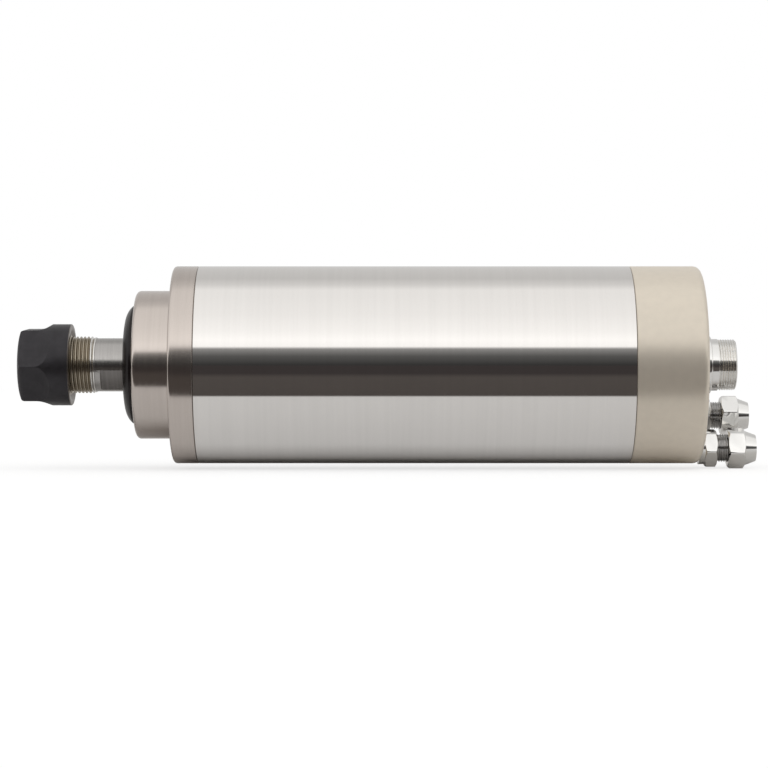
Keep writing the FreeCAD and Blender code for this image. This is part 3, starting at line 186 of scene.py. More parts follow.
def turned(name, section, steps=TURN_STEPS):
    """Spin a closed half section of (station, radius) points about X."""
    piece = drawn(name, section)
    edit(piece)
    bpy.ops.mesh.select_all(action="SELECT")
    bpy.ops.mesh.spin(steps=steps, angle=FULL_TURN, center=(0, 0, 0), axis=(1, 0, 0))
    bpy.ops.mesh.select_all(action="SELECT")
    bpy.ops.mesh.remove_doubles(threshold=MERGE)
    bpy.ops.mesh.normals_make_consistent(inside=False)
    done()
    return piece


def break_edge(piece, station, radius, width, segments=5):
    """Round the ring of edges at a station and radius."""
    edit(piece)

    def on_ring(point):
        near = abs(point.x - station) < SAME_PLACE / 2
        return near and abs(math.hypot(point.y, point.z) - radius) < SAME_PLACE

    count = pick_edges(piece, on_ring)
    if not count:
        raise RuntimeError(f"{piece.name} has no ring at {station}, {radius}")
    bpy.ops.mesh.bevel(offset=width, segments=segments, affect="EDGES")
    done()


def ease_edges(piece, width, angle):
    """Bevel every edge that is sharper than an angle in degrees."""
    modifier = piece.modifiers.new("ease", "BEVEL")
    modifier.width = width
    modifier.segments = 2
    modifier.limit_method = "ANGLE"
    modifier.angle_limit = math.radians(angle)
    only(piece)
    bpy.ops.object.modifier_apply(modifier=modifier.name)


# %% [markdown]
# ### Cutting, copying and dressing
# Holes and flats are cut with the exact Boolean solver, because the cutter's faces often touch
# the piece's own. What repeats round the axis is modelled once on the axis and copied, each copy
# with its own mesh, and the copies are joined. The last helper tells which moving body carries a
# piece and which bare node it stands for.

# %% Helpers: cutting, joining, placing and smoothing
def carve(piece, cutter, operation="DIFFERENCE"):
    """Cut one piece with another and drop the cutter."""
    modifier = piece.modifiers.new("carve", "BOOLEAN")
    modifier.operation = operation
    modifier.object = cutter
    modifier.solver = "EXACT"
    only(piece)
    bpy.ops.object.modifier_apply(modifier=modifier.name)
    bpy.data.objects.remove(cutter, do_unlink=True)


def place(piece, offset=(0, 0, 0), turn=0.0):
    """Turn a piece about X, carry it to its place and leave its origin at zero."""
    piece.data.transform(Matrix.Translation(Vector(offset)) @ Matrix.Rotation(turn, 4, "X"))


def copy_of(piece, name):
    twin = piece.copy()
    twin.data = piece.data.copy()
    twin.name = name
    bpy.context.collection.objects.link(twin)
    return twin


def joined(name, pieces):
    only(pieces[0])
    for piece in pieces:
        piece.select_set(True)
    bpy.ops.object.join()
    pieces[0].name = name
    return pieces[0]


def round_copies(name, piece, count, radius, first_angle):
    """Copy a piece modelled on the axis to evenly spaced places round X, from +Y towards +Z."""
    copies = []
    for number in range(count):
        angle = first_angle + number * FULL_TURN / count
        offset = (0, radius * math.cos(angle), radius * math.sin(angle))
        twin = copy_of(piece, f"{name}_{number}")
        place(twin, offset, angle)
        copies.append(twin)
    bpy.data.objects.remove(piece, do_unlink=True)
    return joined(name, copies)


def off_axis(face):
    """How far the middle of a face lies from the spindle's axis."""
    return math.hypot(face.center.y, face.center.z)


def finish_in(piece, *materials):
    """Give a piece these finishes and no other; the first one covers it."""
    piece.data.materials.clear()
    for material in materials:
        piece.data.materials.append(material)


def smooth(piece, angle=30):
    only(piece)
    bpy.ops.object.shade_smooth_by_angle(angle=math.radians(angle))


def dress(piece, body, slot, *nodes):
    """Say which body carries the piece and which node it stands for; the slot is not used."""
    smooth(piece)
    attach(piece, body)
    if nodes:
        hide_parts(*nodes)
    print(piece.name, len(piece.data.polygons), "faces")


# %% [markdown]
# ## Finishes
# Metal shows its making in its roughness. A lathe leaves rings round the axis, polishing leaves
# faint streaks, and blasting leaves a fine even grain. So each metal is one Principled shader
# whose roughness and bump come from noise that is stretched round the axis. The noise
# reads object coordinates, which are metres here, so its scales are large numbers.

# %% Helper: a metal with grain
def new_material(name, color, metallic, roughness):
    material = bpy.data.materials.new(name)
    material.use_nodes = True
    shader = material.node_tree.nodes["Principled BSDF"]
    shader.inputs["Base Color"].default_value = (*color, 1)
    shader.inputs["Metallic"].default_value = metallic
    shader.inputs["Roughness"].default_value = roughness
    return material, shader


def grain(material, scale, stretch=(1, 1, 1), detail=3.0):
    """Noise on object coordinates, squeezed by a stretch along each axis."""
    nodes = material.node_tree.nodes
    links = material.node_tree.links
    place_node = nodes.new("ShaderNodeTexCoord")
    mapping = nodes.new("ShaderNodeMapping")
    mapping.inputs["Scale"].default_value = stretch
    noise = nodes.new("ShaderNodeTexNoise")
    noise.inputs["Scale"].default_value = scale
    noise.inputs["Detail"].default_value = detail
    links.new(place_node.outputs["Object"], mapping.inputs["Vector"])
    links.new(mapping.outputs["Vector"], noise.inputs["Vector"])
    return noise.outputs["Fac"]


def vary_roughness(material, shader, source, low, high):
    """Let a noise move the roughness between two values."""
    spread = material.node_tree.nodes.new("ShaderNodeMapRange")
    spread.inputs["From Min"].default_value = 0.3
    spread.inputs["From Max"].default_value = 0.7
    spread.inputs["To Min"].default_value = low
    spread.inputs["To Max"].default_value = high
    material.node_tree.links.new(source, spread.inputs["Value"])
    material.node_tree.links.new(spread.outputs["Result"], shader.inputs["Roughness"])


def vary_color(material, shader, source, dark, light):
    """Let a noise move the colour between two close tones."""
    ramp = material.node_tree.nodes.new("ShaderNodeValToRGB")
    ramp.color_ramp.elements[0].position = 0.35
    ramp.color_ramp.elements[0].color = (*dark, 1)
    ramp.color_ramp.elements[1].position = 0.65
    ramp.color_ramp.elements[1].color = (*light, 1)
    material.node_tree.links.new(source, ramp.inputs["Fac"])
    material.node_tree.links.new(ramp.outputs["Color"], shader.inputs["Base Color"])


def add_bump(material, shader, source, depth, strength=1.0):
    """Raise the surface by a noise; depth is in metres."""
    bump = material.node_tree.nodes.new("ShaderNodeBump")
    bump.inputs["Strength"].default_value = strength
    bump.inputs["Distance"].default_value = depth
    material.node_tree.links.new(source, bump.inputs["Height"])
    material.node_tree.links.new(bump.outputs["Normal"], shader.inputs["Normal"])


# %% [markdown]
# ## Polished and turned metals
# The barrel is polished nearly to a mirror, with faint rings from the polishing belt. The nose
# is a warmer, softer polish. The shaft is ground, and its rings are fine. The thread is worn to
# a brown grey; its crests are painted lighter as a highlight and its roots darker as painted
# shade. The milled flats keep more of the tool's marks, and their darker tone is painted shade.
# A noise squeezed by ROUND runs in lines round the axis, and EVEN leaves it as it is.

# %% Polished barrel, nose and shaft steels
ROUND = (1, 0.02, 0.02)
EVEN = (1, 1, 1)


def turned_metal(name, color, low, high, scale, stretch, depth, shade=0.93):
    """Bare metal whose roughness runs from low to high in fine lines round the axis."""
    material, shader = new_material(name, color, 1.0, low)
    lines = grain(material, scale, stretch)
    streaks = grain(material, scale / 3, stretch)
    vary_roughness(material, shader, lines, low, high)
    vary_color(material, shader, streaks, [shade * c for c in color], color)
    add_bump(material, shader, lines, depth, 0.2)
    return material


barrel_steel = turned_metal(
    "barrel_steel", (0.87, 0.845, 0.82), 0.03, 0.07, 1500, ROUND, 0.0003 * MM, 0.975
)
nose_steel = turned_metal(
    "nose_steel", (0.66, 0.595, 0.55), 0.14, 0.20, 2600, ROUND, 0.0006 * MM, 0.965
)
shaft_steel = turned_metal("shaft_steel", (0.46, 0.445, 0.43), 0.15, 0.26, 3000, ROUND, 0.001 * MM)
thread_steel = turned_metal("thread_steel", (0.42, 0.37, 0.295), 0.22, 0.34, 3000, ROUND, 0.001 * MM)
# Painted highlight: the thread's crests are a lighter tone than its flanks.
thread_crest_highlight = turned_metal("thread_crest_highlight", (0.47, 0.415, 0.335), 0.18, 0.30, 3000, ROUND, 0.001 * MM)
# Painted shade: the root between the thread's ridges is a darker tone.
thread_root_shade = turned_metal("thread_root_shade", (0.33, 0.285, 0.22), 0.35, 0.5, 3000, ROUND, 0.001 * MM)
bright_edge = turned_metal("bright_edge", (0.85, 0.83, 0.80), 0.10, 0.20, 2600, ROUND, 0.001 * MM)
# Painted shade: the milled flats are darker than the shaft, and rougher from the tool.
flat_shade_steel = turned_metal("flat_shade_steel", (0.27, 0.255, 0.245), 0.30, 0.48, 2400, ROUND, 0.002 * MM, 0.8)
# A painted tone: dark grey as shade in the barrel's joint grooves, and a grey lighter than the black
# as painted sheen on the nut's rear face.
shade_and_sheen_grey = turned_metal("shade_and_sheen_grey", (0.30, 0.275, 0.255), 0.25, 0.4, 2400, ROUND, 0.002 * MM, 0.8)
# Painted shade: a darker chrome for the fittings' threaded necks, between the hexagons.
neck_shade_chrome = turned_metal("neck_shade_chrome", (0.50, 0.49, 0.48), 0.12, 0.2, 1200, EVEN, 0.003 * MM, 0.9)
chrome = turned_metal("fitting_chrome", (0.88, 0.87, 0.85), 0.05, 0.11, 420, EVEN, 0.003 * MM, 0.97)
bearing_steel = turned_metal("bearing_steel", (0.66, 0.67, 0.68), 0.12, 0.2, 2600, ROUND, 0.001 * MM)
inner_alloy = turned_metal("inner_alloy", (0.70, 0.71, 0.72), 0.28, 0.4, 2400, ROUND, 0.002 * MM)

# %% [markdown]
# ## Cast, blackened and moulded finishes
# The rear cap is blasted and anodised to a matte champagne, so it takes only soft reflections.
# The nut and the flinger are blackened steel: a dark satin with a fine, even tooth.

# %% Matte and dark finishes
def matte(name, color, metallic, low, high, scale, depth, dark=0.9):
    """A satin or matte finish with an even tooth and slightly darker clouds."""
    material, shader = new_material(name, color, metallic, low)
    tooth = grain(material, scale, detail=4)
    vary_roughness(material, shader, tooth, low, high)
    vary_color(material, shader, grain(material, scale / 12), [dark * c for c in color], color)
    add_bump(material, shader, tooth, depth, 0.5)
    return material


cap_alloy = matte("cap_alloy", (0.91, 0.825, 0.70), 0.42, 0.28, 0.35, 3600, 0.005 * MM, 0.97)
nut_black = matte("nut_black", (0.045, 0.042, 0.047), 0.55, 0.34, 0.46, 3000, 0.01 * MM, 0.8)
flinger_black = matte("flinger_black", (0.016, 0.012, 0.012), 0.4, 0.26, 0.36, 2600, 0.006 * MM, 0.8)
screw_black = matte("screw_black", (0.05, 0.05, 0.055), 0.7, 0.3, 0.45, 3000, 0.006 * MM, 0.8)
moulded_black = matte("moulded_black", (0.03, 0.03, 0.032), 0.0, 0.42, 0.55, 1800, 0.01 * MM, 0.8)
seal_rubber = matte("seal_rubber", (0.035, 0.035, 0.035), 0.0, 0.55, 0.7, 1500, 0.01 * MM, 0.8)
cage_plastic = matte("cage_plastic", (0.45, 0.28, 0.13), 0.0, 0.5, 0.65, 900, 0.02 * MM, 0.7)
core_steel = matte("core_steel", (0.34, 0.34, 0.36), 0.9, 0.4, 0.55, 1400, 0.01 * MM, 0.8)
winding_copper = matte("winding_copper", (0.62, 0.25, 0.10), 0.8, 0.3, 0.45, 700, 0.05 * MM, 0.6)
pin_metal = matte("pin_metal", (0.86, 0.70, 0.36), 1.0, 0.14, 0.22, 1200, 0.002 * MM, 0.9)

# %% [markdown]
# ## The inner pieces
# Bearings, rotor, stator and the other inner pieces keep their shapes from the construction,
# because no outside view reaches them. Each one only takes its finish by its slot.

# %% Finishes for the construction's own pieces
FINISH_OF_SLOT = {
    "tube_steel": barrel_steel,
    "nose_steel": nose_steel,
    "shaft_steel": shaft_steel,
    "cap_alloy": cap_alloy,
    "inner_alloy": inner_alloy,
    "bearing_steel": bearing_steel,
    "ball_steel": bearing_steel,
    "cage_plastic": cage_plastic,
    "screw_steel": screw_black,
    "lamination_steel": core_steel,
    "winding_copper": winding_copper,
    "seal_rubber": seal_rubber,
    "nut_black": nut_black,
    "flinger_black": flinger_black,
    "collet_steel": shaft_steel,
    "connector_chrome": chrome,
    "insert_plastic": moulded_black,
    "pin_brass": pin_metal,
    "fitting_chrome": chrome,
    "lead_sleeve": seal_rubber,
}

for subpart in frame["record"]["subparts"]:
    node = frame["nodes"][subpart["node"]]
    node.data.materials.clear()
    node.data.materials.append(FINISH_OF_SLOT[subpart["material_slot"]])

# %% [markdown]
# ## Stations along the axis
# The lathe sections need the stations where the diameters change. They are read from the boxes
# of the construction's nodes, so a change there moves the dressed pieces with it. Only the
# small steps that a box can't tell are named here.

# %% Stations and radii
nose_low, nose_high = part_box("front_housing")
tube_low, tube_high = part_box("outer_tube")
cap_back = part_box("rear_cap")[1][0]
nut_low, nut_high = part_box("collet_nut")
shaft_low, shaft_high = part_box("shaft")
disc_low, disc_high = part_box("flinger")
shell_low, shell_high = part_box("connector_shell")

BARREL_RADIUS = 40 * MM
WALL = 3 * MM
FIT_GAP = 0.02 * MM
JOINT_CHAMFER = 0.25 * MM
nose_face = nose_low[0]
spigot_end = nose_high[0]
flange_back = tube_low[0]
cap_front = tube_high[0]
shoulder_face = -cap_back
print("barrel from", round(shoulder_face / MM, 1), "to", round(cap_back / MM, 1), "mm")

# %% [markdown]
# ## Barrel tube
# A plain polished tube between two chamfered ends. The chamfers matter more than their size:
# with those of the neighbours they make the two thin dark joint lines, and the tube's chamfer
# faces are painted a dark grey as shade in the groove.

# %% Barrel tube
def barrel_tube():
    inner = BARREL_RADIUS - WALL
    piece = turned("barrel_tube", [
        (flange_back, inner),
        (cap_front, inner),
        (cap_front, BARREL_RADIUS - JOINT_CHAMFER),
        (cap_front - JOINT_CHAMFER, BARREL_RADIUS),
        (flange_back + JOINT_CHAMFER, BARREL_RADIUS),
        (flange_back, BARREL_RADIUS - JOINT_CHAMFER),
    ])
    finish_in(piece, barrel_steel, shade_and_sheen_grey)
    # The chamfer faces at the rim are painted dark grey: painted shade in the joint groove.
    for face in piece.data.polygons:
        at_rim = off_axis(face) > BARREL_RADIUS - JOINT_CHAMFER
        if at_rim and abs(face.normal.x) > 0.5:
            face.material_index = 1
    dress(piece, "housing", "tube_steel", "outer_tube")


barrel_tube()

# %% [markdown]
# ## Nose housing
# The nose steps down from the barrel's diameter to the bearing nose, with rounded outer edges
# and a shallow ring groove that takes the flinger's skirt. Four counterbored holes in the
# shoulder hold it to the jacket. The lathe makes the steps, and a drill shape cuts the holes.

# %% Nose housing
NOSE_RADIUS = 30 * MM
LIP_BORE = 16.6 * MM
LIP_LENGTH = 2.6 * MM
BEARING_BORE = 23.52 * MM
GROOVE_INNER = 19 * MM
GROOVE_OUTER = 21.8 * MM
GROOVE_DEPTH = 1.6 * MM
NOSE_ROUND = 1.8 * MM
SHOULDER_ROUND = 1.4 * MM
SCREW_CIRCLE = 34 * MM
FRONT_SCREW_ANGLE = math.radians(45)
HEAD_HOLE = 3.75 * MM
SCREW_HOLE = 2.15 * MM
COUNTERBORE = 4.4 * MM


def screw_drill(name, face, inward, reach):
    """A stepped cutter for one counterbored hole, on the axis."""
    outside = face - inward * MM
    seat = face + inward * COUNTERBORE
    end = face + inward * reach
    return turned(name, [
        (outside, 0), (outside, HEAD_HOLE), (seat, HEAD_HOLE),
        (seat, SCREW_HOLE), (end, SCREW_HOLE), (end, 0),
    ], 32)


def nose_housing():
    spigot = BARREL_RADIUS - 10 * MM - FIT_GAP
    piece = turned("nose_housing", [
        (nose_face, LIP_BORE),
        (nose_face + LIP_LENGTH, LIP_BORE),
        (nose_face + LIP_LENGTH, BEARING_BORE),
        (spigot_end, BEARING_BORE),
        (spigot_end, spigot),
        (flange_back, spigot),
        (flange_back, BARREL_RADIUS - JOINT_CHAMFER),
        (flange_back - JOINT_CHAMFER, BARREL_RADIUS),
        (shoulder_face, BARREL_RADIUS),
        (shoulder_face, NOSE_RADIUS),
        (nose_face, NOSE_RADIUS),
        (nose_face, GROOVE_OUTER),
        (nose_face + GROOVE_DEPTH, GROOVE_OUTER),
        (nose_face + GROOVE_DEPTH, GROOVE_INNER),
        (nose_face, GROOVE_INNER),
    ])
    break_edge(piece, nose_face, NOSE_RADIUS, NOSE_ROUND)
    break_edge(piece, shoulder_face, BARREL_RADIUS, SHOULDER_ROUND)
    drill = screw_drill("nose_drill", shoulder_face, 1, flange_back - shoulder_face + MM)
    carve(piece, round_copies("nose_drills", drill, 4, SCREW_CIRCLE, FRONT_SCREW_ANGLE))
    finish_in(piece, nose_steel)
    dress(piece, "housing", "nose_steel", "front_housing")


nose_housing()

# %% [markdown]
# ## Rear cap
# The cap is a deep casting with a soft rim. The water runs through its thick wall, so the wall
# has two round ports beside the screw holes, and the connector sits in a hole on the axis.

# %% Rear cap
CAP_ROUND = 2.8 * MM
CAVITY_RADIUS = 28 * MM
CAP_FLOOR = cap_back - 6.5 * MM
CONNECTOR_HOLE = 9.55 * MM
PORT_RADIUS = 4.02 * MM
PORT_DEPTH = 9.5 * MM
PORT_CIRCLE = 34.2 * MM
REAR_SCREW_ANGLE = math.radians(29.5 - 90)
PORT_ANGLES = {
    "lower": REAR_SCREW_ANGLE - math.radians(22.5),
    "upper": REAR_SCREW_ANGLE + math.radians(22.5),
}


def rear_cap():
    piece = turned("cast_cap", [
        (cap_front, CAVITY_RADIUS),
        (CAP_FLOOR, CAVITY_RADIUS),
        (CAP_FLOOR, CONNECTOR_HOLE),
        (cap_back, CONNECTOR_HOLE),
        (cap_back, BARREL_RADIUS),
        (cap_front + JOINT_CHAMFER, BARREL_RADIUS),
        (cap_front, BARREL_RADIUS - JOINT_CHAMFER),
    ])
    break_edge(piece, cap_back, BARREL_RADIUS, CAP_ROUND)
    drill = screw_drill("cap_drill", cap_back, -1, cap_back - cap_front + MM)
    carve(piece, round_copies("cap_drills", drill, 4, SCREW_CIRCLE, REAR_SCREW_ANGLE))
    for side, angle in PORT_ANGLES.items():
        port = turned(f"{side}_port_drill", [
            (cap_back - PORT_DEPTH, 0), (cap_back - PORT_DEPTH, PORT_RADIUS),
            (cap_back + MM, PORT_RADIUS), (cap_back + MM, 0),
        ], 48)
        place(port, (0, PORT_CIRCLE * math.cos(angle), PORT_CIRCLE * math.sin(angle)))
        carve(piece, port)
    finish_in(piece, cap_alloy)
    dress(piece, "housing", "cap_alloy", "rear_cap")


rear_cap()

# %% [markdown]
# ## Housing screws
# Socket screws hold the nose and the cap. One head is turned, its hexagon socket is cut with a
# six-sided prism, and the whole screw is copied round the axis.

# %% Housing screws
HEAD_RADIUS = 3.5 * MM
HEAD_LENGTH = 4 * MM
HEAD_EDGE = 0.35 * MM
SHANK_RADIUS = 2 * MM
SOCKET_FLATS = 3 * MM
SOCKET_DEPTH = 2 * MM


def hexagon(name, start, end, flats, turn=0.0):
    """A six-sided prism along X, with corners at top and bottom before it is turned."""
    radius = flats / 2 / math.cos(math.radians(30))
    bpy.ops.object.select_all(action="DESELECT")
    bpy.ops.mesh.primitive_cylinder_add(
        vertices=6, radius=radius, depth=end - start,
        location=((start + end) / 2, 0, 0), rotation=(0, math.radians(90), 0),
    )
    piece = bpy.context.active_object
    piece.name = name
    bpy.ops.object.transform_apply(location=True, rotation=True, scale=True)
    place(piece, turn=turn + math.radians(30))
    return piece


def socket_screws(name, face, inward, shank, count, circle, first_angle, slot, node):
    under = face + inward * HEAD_LENGTH
    tip = under + inward * shank
    screw = turned(name + "_one", [
        (face, 0), (face, HEAD_RADIUS), (under, HEAD_RADIUS),
        (under, SHANK_RADIUS), (tip, SHANK_RADIUS), (tip, 0),
    ], 40)
    break_edge(screw, face, HEAD_RADIUS, HEAD_EDGE, 3)
    ends = sorted((face - inward * MM, face + inward * SOCKET_DEPTH))
    carve(screw, hexagon(name + "_socket", ends[0], ends[1], SOCKET_FLATS))
    finish_in(screw, screw_black)
    screws = round_copies(name, screw, count, circle, first_angle)
    dress(screws, "housing", slot, node)


front_screw_low, front_screw_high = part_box("front_screws")
rear_screw_low, rear_screw_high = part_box("rear_screws")
socket_screws(
    "nose_screws", front_screw_low[0], 1, front_screw_high[0] - front_screw_low[0] - HEAD_LENGTH,
    4, SCREW_CIRCLE, FRONT_SCREW_ANGLE, "screw_steel", "front_screws",
)
socket_screws(
    "cap_screws", rear_screw_high[0], -1, rear_screw_high[0] - rear_screw_low[0] - HEAD_LENGTH,
    4, SCREW_CIRCLE, REAR_SCREW_ANGLE, "screw_steel", "rear_screws",
)

# %% [markdown]
# ## Flinger
# The black disc throws chips and coolant outwards before they reach the bearings. Its front
# falls away to the rim in an arc, and a short skirt behind it runs in the nose's ring groove.

# %% Flinger
JOURNAL = 13.02 * MM
FLINGER_RADIUS = 23.8 * MM
FLINGER_FACE = 18 * MM
FLINGER_SLOPE = 2.8 * MM
FLINGER_ARC = 8 * MM
FLINGER_EDGE = 0.4 * MM
SKIRT_INNER = 19.7 * MM
SKIRT_OUTER = 21.1 * MM
FLINGER_BACK = disc_low[0] + 4.1 * MM


def flinger():
    rim = (disc_low[0] + FLINGER_SLOPE, FLINGER_RADIUS)
    face = (disc_low[0], FLINGER_FACE)
    piece = turned("flinger_disc", [
        (disc_low[0], JOURNAL),
        (FLINGER_BACK, JOURNAL),
        (FLINGER_BACK, SKIRT_INNER),
        (disc_high[0], SKIRT_INNER),
        (disc_high[0], SKIRT_OUTER),
        (FLINGER_BACK, SKIRT_OUTER),
        (FLINGER_BACK, FLINGER_RADIUS),
        rim,
        *arc(rim, face, FLINGER_ARC),
        face,
    ])
    break_edge(piece, FLINGER_BACK, FLINGER_RADIUS, FLINGER_EDGE, 3)
    finish_in(piece, flinger_black)
    dress(piece, "rotor", "flinger_black", "flinger")


flinger()

# %% [markdown]
# ## Threads
# A thread is one ridge wound round a core. A small triangle is drawn beside the core and the
# Screw modifier winds it: one pitch along the axis for each turn. The ends are closed so that
# the ridge stays a solid of its own.

# %% Helper: a wound thread ridge
def thread_ridge(name, start, length, core, crest, pitch, steps=64):
    turns = max(int(length / pitch) - 1, 1)
    half = 0.42 * pitch
    land = 0.11 * pitch
    first = start + half
    piece = drawn(name, [
        (first - half, core - 0.15 * MM), (first - half, core), (first - land, crest),
        (first + land, crest), (first + half, core), (first + half, core - 0.15 * MM),
    ])
    winding = piece.modifiers.new("winding", "SCREW")
    winding.axis = "X"
    winding.angle = FULL_TURN
    winding.screw_offset = pitch
    winding.iterations = turns
    winding.steps = steps
    winding.render_steps = steps
    winding.use_merge_vertices = True
    only(piece)
    bpy.ops.object.modifier_apply(modifier=winding.name)
    edit(piece)
    bpy.ops.mesh.select_mode(type="EDGE")
    bpy.ops.mesh.select_all(action="DESELECT")
    bpy.ops.mesh.select_non_manifold()
    bpy.ops.mesh.edge_face_add()
    bpy.ops.mesh.select_all(action="SELECT")
    bpy.ops.mesh.normals_make_consistent(inside=False)
    done()
    return piece


# %% [markdown]
# ### Trimming the ridge
# A wound ridge ends in blunt faces. A real thread starts with a chamfer, so the ridge is wound
# past both ends, and a turned ring with a sloping side cuts it back at each end.

# %% Helper: a ridge trimmed to its length
def trimmed_ridge(name, start, end, core, crest, pitch, lead, steps=64):
    """Wind a ridge past both ends, then trim it with two chamfer rings."""
    ridge = thread_ridge(name, start - pitch, end - start + 3 * pitch, core, crest, pitch, steps)
    for station, inward in ((start, 1), (end, -1)):
        away = station - inward * 5 * pitch
        carve(ridge, turned(name + "_trim", [
            (station + inward * lead, crest + MM),
            (station + inward * lead, crest),
            (station, core),
            (station, core - MM),
            (away, core - MM),
            (away, crest + MM),
        ], steps))
    return ridge


# %% [markdown]
# ## Shaft
# The shaft is turned in one piece, from its threaded nose to its rear journal, with the tapered
# collet socket in its nose. Two wrench flats are milled across the neck. The thread behind the
# nut is worn to a brownish grey. Its last ridge and the narrow ring behind it are bright. The
# ridges are wound apart from the shaft and joined to it, which keeps the lathe work clean, and
# the finishes are given to faces by their station and their distance from the axis.

# %% Shaft
shaft_face = shaft_low[0]
shaft_end = shaft_high[0]
FULL_THREAD = 14.2 * MM
RUNOUT_THREAD = 10.0 * MM
THREAD_CREST = 12.45 * MM
THREAD_CORE = 11.5 * MM
RUNOUT_CREST = 11.5 * MM
RUNOUT_CORE = 10.75 * MM
THREAD_PITCH = 1.5 * MM
THREAD_LEAD = 0.9 * MM
BRIGHT_LENGTH = 2.6 * MM
RING_RADIUS = 11.15 * MM
RING_WIDTH = 0.65 * MM
RING_EDGE = 0.12 * MM
NECK_RADIUS = 10.8 * MM
FLATS = 19 * MM
FLATS_CUT = 3 * MM
FLATS_SETBACK = 2.2 * MM
FLATS_ANGLE = math.radians(131)
SHOULDER = 16 * MM
FRONT_BORE = 12.5 * MM
REAR_BORE = 7.5 * MM
SOCKET_MOUTH = 10.3 * MM
SOCKET_END = 7.05 * MM
SOCKET_RELIEF = 6.4 * MM
AXIS_BORE = 3.2 * MM
LOCKNUT_JOURNAL = 12 * MM
REAR_JOURNAL = 9.5 * MM
THREAD_START = 0.6 * MM
CREST_BAND = 0.05 * MM
full_thread_end = shaft_face + FULL_THREAD
neck_front = full_thread_end + RUNOUT_THREAD
disc_front = disc_low[0]
seat_face = nose_face + LIP_LENGTH


def shaft_blank():
    locknut_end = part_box("front_locknut")[1][0]
    core_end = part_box("rotor_core")[1][0]
    rear_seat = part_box("rear_bearing_inner_rings")[0][0]
    collet_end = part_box("collet")[1][0]
    return turned("spindle_shaft", [
        (shaft_face, SOCKET_MOUTH),
        (shaft_face, THREAD_CORE - THREAD_START),
        (shaft_face + THREAD_START, THREAD_CORE),
        (full_thread_end, THREAD_CORE),
        (full_thread_end, RUNOUT_CORE),
        (neck_front - RING_WIDTH, RUNOUT_CORE),
        (neck_front - RING_WIDTH, RING_RADIUS - RING_EDGE),
        (neck_front - RING_WIDTH + RING_EDGE, RING_RADIUS),
        (neck_front - RING_EDGE, RING_RADIUS),
        (neck_front, RING_RADIUS - RING_EDGE),
        (neck_front, NECK_RADIUS),
        (disc_front, NECK_RADIUS),
        (disc_front, JOURNAL - FIT_GAP),
        (FLINGER_BACK, JOURNAL - FIT_GAP),
        (FLINGER_BACK, SHOULDER),
        (seat_face, SHOULDER),
        (seat_face, FRONT_BORE),
        (locknut_end, FRONT_BORE),
        (locknut_end, LOCKNUT_JOURNAL),
        (core_end, LOCKNUT_JOURNAL),
        (core_end, REAR_JOURNAL),
        (rear_seat, REAR_JOURNAL),
        (rear_seat, REAR_BORE),
        (shaft_end, REAR_BORE),
        (shaft_end, 0),
        (shaft_end - 2 * REAR_BORE, 0),
        (shaft_end - 2 * REAR_BORE, AXIS_BORE),
        (collet_end + 9 * MM, AXIS_BORE),
        (collet_end + 6 * MM, SOCKET_RELIEF),
        (collet_end + MM, SOCKET_RELIEF),
        (collet_end + MM, SOCKET_END),
        (collet_end - 2 * MM, SOCKET_END),
    ])


def mill_flats(piece):
    """Cut both wrench flats and give their faces the milled finish, painted darker as shade."""
    width = 4 * NECK_RADIUS
    for turn in (FLATS_ANGLE, FLATS_ANGLE + math.pi):
        start = neck_front + FLATS_SETBACK
        bpy.ops.object.select_all(action="DESELECT")
        bpy.ops.mesh.primitive_cube_add(size=1)
        block = bpy.context.active_object
        block.scale = (disc_front - start, width, FLATS_CUT)
        block.location = ((start + disc_front) / 2, 0, (FLATS + FLATS_CUT) / 2)
        bpy.ops.object.transform_apply(location=True, rotation=True, scale=True)
        place(block, turn=turn)
        carve(piece, block)
        normal = Vector((0, -math.sin(turn), math.cos(turn)))
        for face in piece.data.polygons:
            on_neck = start < face.center.x < disc_front
            level = abs(face.center.dot(normal) - FLATS / 2) < SAME_PLACE
            if on_neck and level and face.normal.dot(normal) > 0.999:
                face.material_index = 1


def finish_ridge(ridge, crest):
    """Worn flanks and a crest painted brighter as a highlight."""
    finish_in(ridge, thread_steel, thread_crest_highlight)
    for face in ridge.data.polygons:
        if off_axis(face) > crest - CREST_BAND:
            face.material_index = 1


def spindle_shaft():
    piece = shaft_blank()
    finish_in(piece, shaft_steel, flat_shade_steel, thread_root_shade, bright_edge)
    # Index 2 paints the thread's root a darker tone, as painted shade.
    for face in piece.data.polygons:
        outside = off_axis(face) > SOCKET_MOUTH
        if outside and face.center.x < neck_front - BRIGHT_LENGTH:
            face.material_index = 2
        elif outside and neck_front - 0.99 * RING_WIDTH < face.center.x < neck_front:
            face.material_index = 3
    mill_flats(piece)
    full = trimmed_ridge(
        "full_thread", shaft_face, full_thread_end,
        THREAD_CORE, THREAD_CREST, THREAD_PITCH, THREAD_LEAD,
    )
    finish_ridge(full, THREAD_CREST)
    runout = trimmed_ridge(
        "runout_thread", full_thread_end - THREAD_PITCH, neck_front - RING_WIDTH,
        RUNOUT_CORE, RUNOUT_CREST, THREAD_PITCH, THREAD_LEAD / 2,
    )
    finish_ridge(runout, RUNOUT_CREST)
    runout.data.materials.append(bright_edge)
    for face in runout.data.polygons:
        angle = math.atan2(face.center.z, face.center.y) % FULL_TURN
        if face.center.x - THREAD_PITCH * angle / FULL_TURN > neck_front - BRIGHT_LENGTH:
            face.material_index = 2
    piece = joined("spindle_shaft", [piece, full, runout])
    dress(piece, "rotor", "shaft_steel", "shaft")


spindle_shaft()
